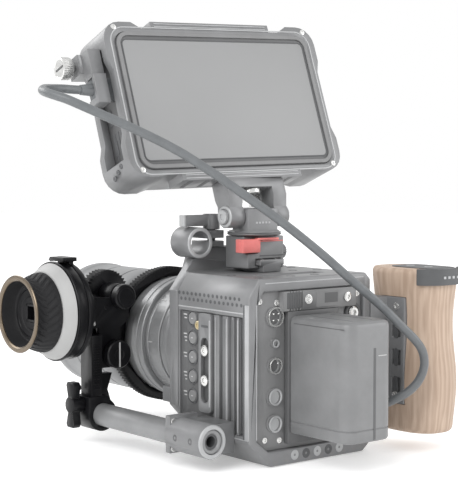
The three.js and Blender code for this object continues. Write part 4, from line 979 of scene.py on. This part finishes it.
# Painted shade in the thumb screw's slot.
on_monitor(slab("thumb_slot", (-104.75, thumb_local.y - 4.8, thumb_local.z - 0.6),
    (-104.3, thumb_local.y + 4.8, thumb_local.z + 0.6),
    "body_dark_and_painted_shade", None, soft=FINE, slot="steel"), body="plug_screw")

# ---------- monitor mount ----------

# Painted highlight rings on the yoke's bosses.
for number, (x, sense) in enumerate(((-24.1, -1), (24.1, 1))):
    on_monitor(turned("yoke_boss_%d" % number, "x", (0, 0, 0), [
        (4.4, x), (4.6, x + 0.7 * sense), (6.4, x + 0.7 * sense), (6.9, x + 0.3 * sense),
        (6.9, x - 0.3 * sense), (4.4, x - 0.3 * sense)],
        "cage_pale_and_painted_highlight", None, segments=64, slot="cage_grey"), YOKE)
tilt_at = Vector(tilt_joint["pos_m"]) / MM
head("pivot_bolt", "x", (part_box("swivel_head")[0].x / MM + 0.2, tilt_at.y, tilt_at.z), -1, 4.4, "cage_pale_and_painted_highlight",
    "swivel", depth=1.2, slot="steel")
on_monitor(slab("yoke_plate_face", (-5, 4.6, 7.4), (12.6, 5.2, 17), "steel", None, slot="steel"), YOKE)
# Painted shade in the plate's hole.
on_monitor(pill("yoke_plate_hole", (7, 4.35, 12.4), (0, 0, 1), (1, 0, 0), 3.2, 1.3, 0.3, "cage_dark_and_painted_shade", None,
    slot="steel"), YOKE)
# Painted shade in the swivel's grooves.
for number, z in enumerate((139.6, 140.7)):
    turned("swivel_groove_%d" % number, "z", (tilt_at.x * MM, tilt_at.y * MM, 0), [
        (16.6, z - 0.2), (17.5, z - 0.2), (17.6, z), (17.5, z + 0.2),
        (16.6, z + 0.2)], "cage_dark_and_painted_shade", "swivel", segments=96,
        slot="cage_grey")
for number in range(5):
    slab("swivel_mark_%d" % number, (tilt_at.x - 6 + number * 2.6, tilt_at.y - 9.2, 146.4),
        (tilt_at.x - 4.4 + number * 2.6, tilt_at.y - 8.9, 147.6),
        "cage_pale_and_painted_highlight", "swivel", soft=FINE, slot="cage_grey")
clamp_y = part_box("nato_clamp")[0].y / MM
slab("red_line", (-8, clamp_y - 0.2, 134.9), (12.4, clamp_y + 0.2, 135.6), "red_metal", "rig", soft=FINE,
    slot="red_metal")
for k in range(4):
    slab("lever_rib_%d" % k, (-24.15, -7.8 + k * 1.7, 129.4), (-23.7, -7.0 + k * 1.7, 136), "red_metal",
        "red_lever", soft=0.15 * MM, slot="red_metal")
# Painted shade in the gap at the clamp's jaw.
slab("nato_jaw_line", (-7.2, clamp_y - 0.25, 125.6), (12.6, clamp_y + 0.2, 126.3), "cage_dark_and_painted_shade", "rig",
    soft=FINE, slot="cage_grey")
knob = middle("nato_lock_knob") / MM
turned("lock_knob_grip", "x", (0, knob.y * MM, knob.z * MM), [
    (2.2, 16), (4.2, 16), (4.6, 16.5), (4.6, 21.8), (4.1, 22.3),
    (2.2, 22.3)], "cage_grey", "lock_knob", segments=90,
    wave=ribs(22, 0.35, 0.5, 16.4, 22), slot="cage_grey")
lever_low, lever_high = box_mm("top_clamp_lever")
turned("lever_cap", "z", (-18 * MM, 31.5 * MM, 0), [
    (0, lever_high.z - 0.4), (3.6, lever_high.z - 0.4), (4, lever_high.z), (4.8, lever_high.z),
    (5.1, lever_high.z - 0.4), (5.1, lever_high.z - 3),
    (0, lever_high.z - 3)], "cage_pale_and_painted_highlight", "top_lever", segments=64, slot="cage_grey")
# Painted highlight along the paddle's edge.
slab("lever_paddle_edge", (lever_low.x - 0.2, 28.6, 144.4), (lever_low.x + 1.4, 34.4, 151.8), "cage_pale_and_painted_highlight",
    "top_lever", soft=0.4 * MM, slot="cage_grey")
# Painted highlight on the bore's lip.
turned("top_bore_lip", "y", (-34.5 * MM, 0, 134 * MM), [
    (7.55, 21.8), (8, 21.5), (9.4, 21.5), (9.9, 22), (9.9, 22.6),
    (7.55, 22.6)], "cage_pale_and_painted_highlight", "rig", segments=72, slot="cage_grey")

# ---------- floor and light ----------

low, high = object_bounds()
sides = 64
FLOOR_RADIUS = 4
floor_shader = LOOK["floor"].node_tree.nodes["Principled BSDF"]
floor_shader.inputs["Emission Color"].default_value = (1, 1, 1, 1)
floor_shader.inputs["Emission Strength"].default_value = 0.32
floor_rim = [(FLOOR_RADIUS * math.cos(2 * math.pi * k / sides),
    FLOOR_RADIUS * math.sin(2 * math.pi * k / sides), low.z - 0.0005) for k in range(sides)]
floor = piece("floor", floor_rim, [tuple(range(sides))], "floor", None)


def lamp(name, place, aim, size, power):
    made = bpy.data.lights.new(name, "AREA")
    made.shape = "RECTANGLE"
    made.size, made.size_y = size
    made.energy = power
    obj = bpy.data.objects.new(name, made)
    bpy.context.scene.collection.objects.link(obj)
    obj.location = place
    obj.rotation_mode = "QUATERNION"
    obj.rotation_quaternion = (Vector(aim) - Vector(place)).to_track_quat("-Z", "Y")


lamp("key", (-1.5, -0.7, 1.3), (0, 0, 0.12), (1.2, 1.2), 24)
lamp("back", (-0.6, 1.6, 1.2), (0, 0, 0.12), (1.6, 0.8), 16)
lamp("fill", (1.6, -1.3, 0.9), (0, 0, 0.12), (1.2, 1.2), 14)
world = bpy.data.worlds.new("studio")
bpy.context.scene.world = world
world.use_nodes = True
world.node_tree.nodes["Background"].inputs["Color"].default_value = (1, 1, 1, 1)
world.node_tree.nodes["Background"].inputs["Strength"].default_value = 1.0
bpy.context.scene.view_settings.view_transform = "Standard"
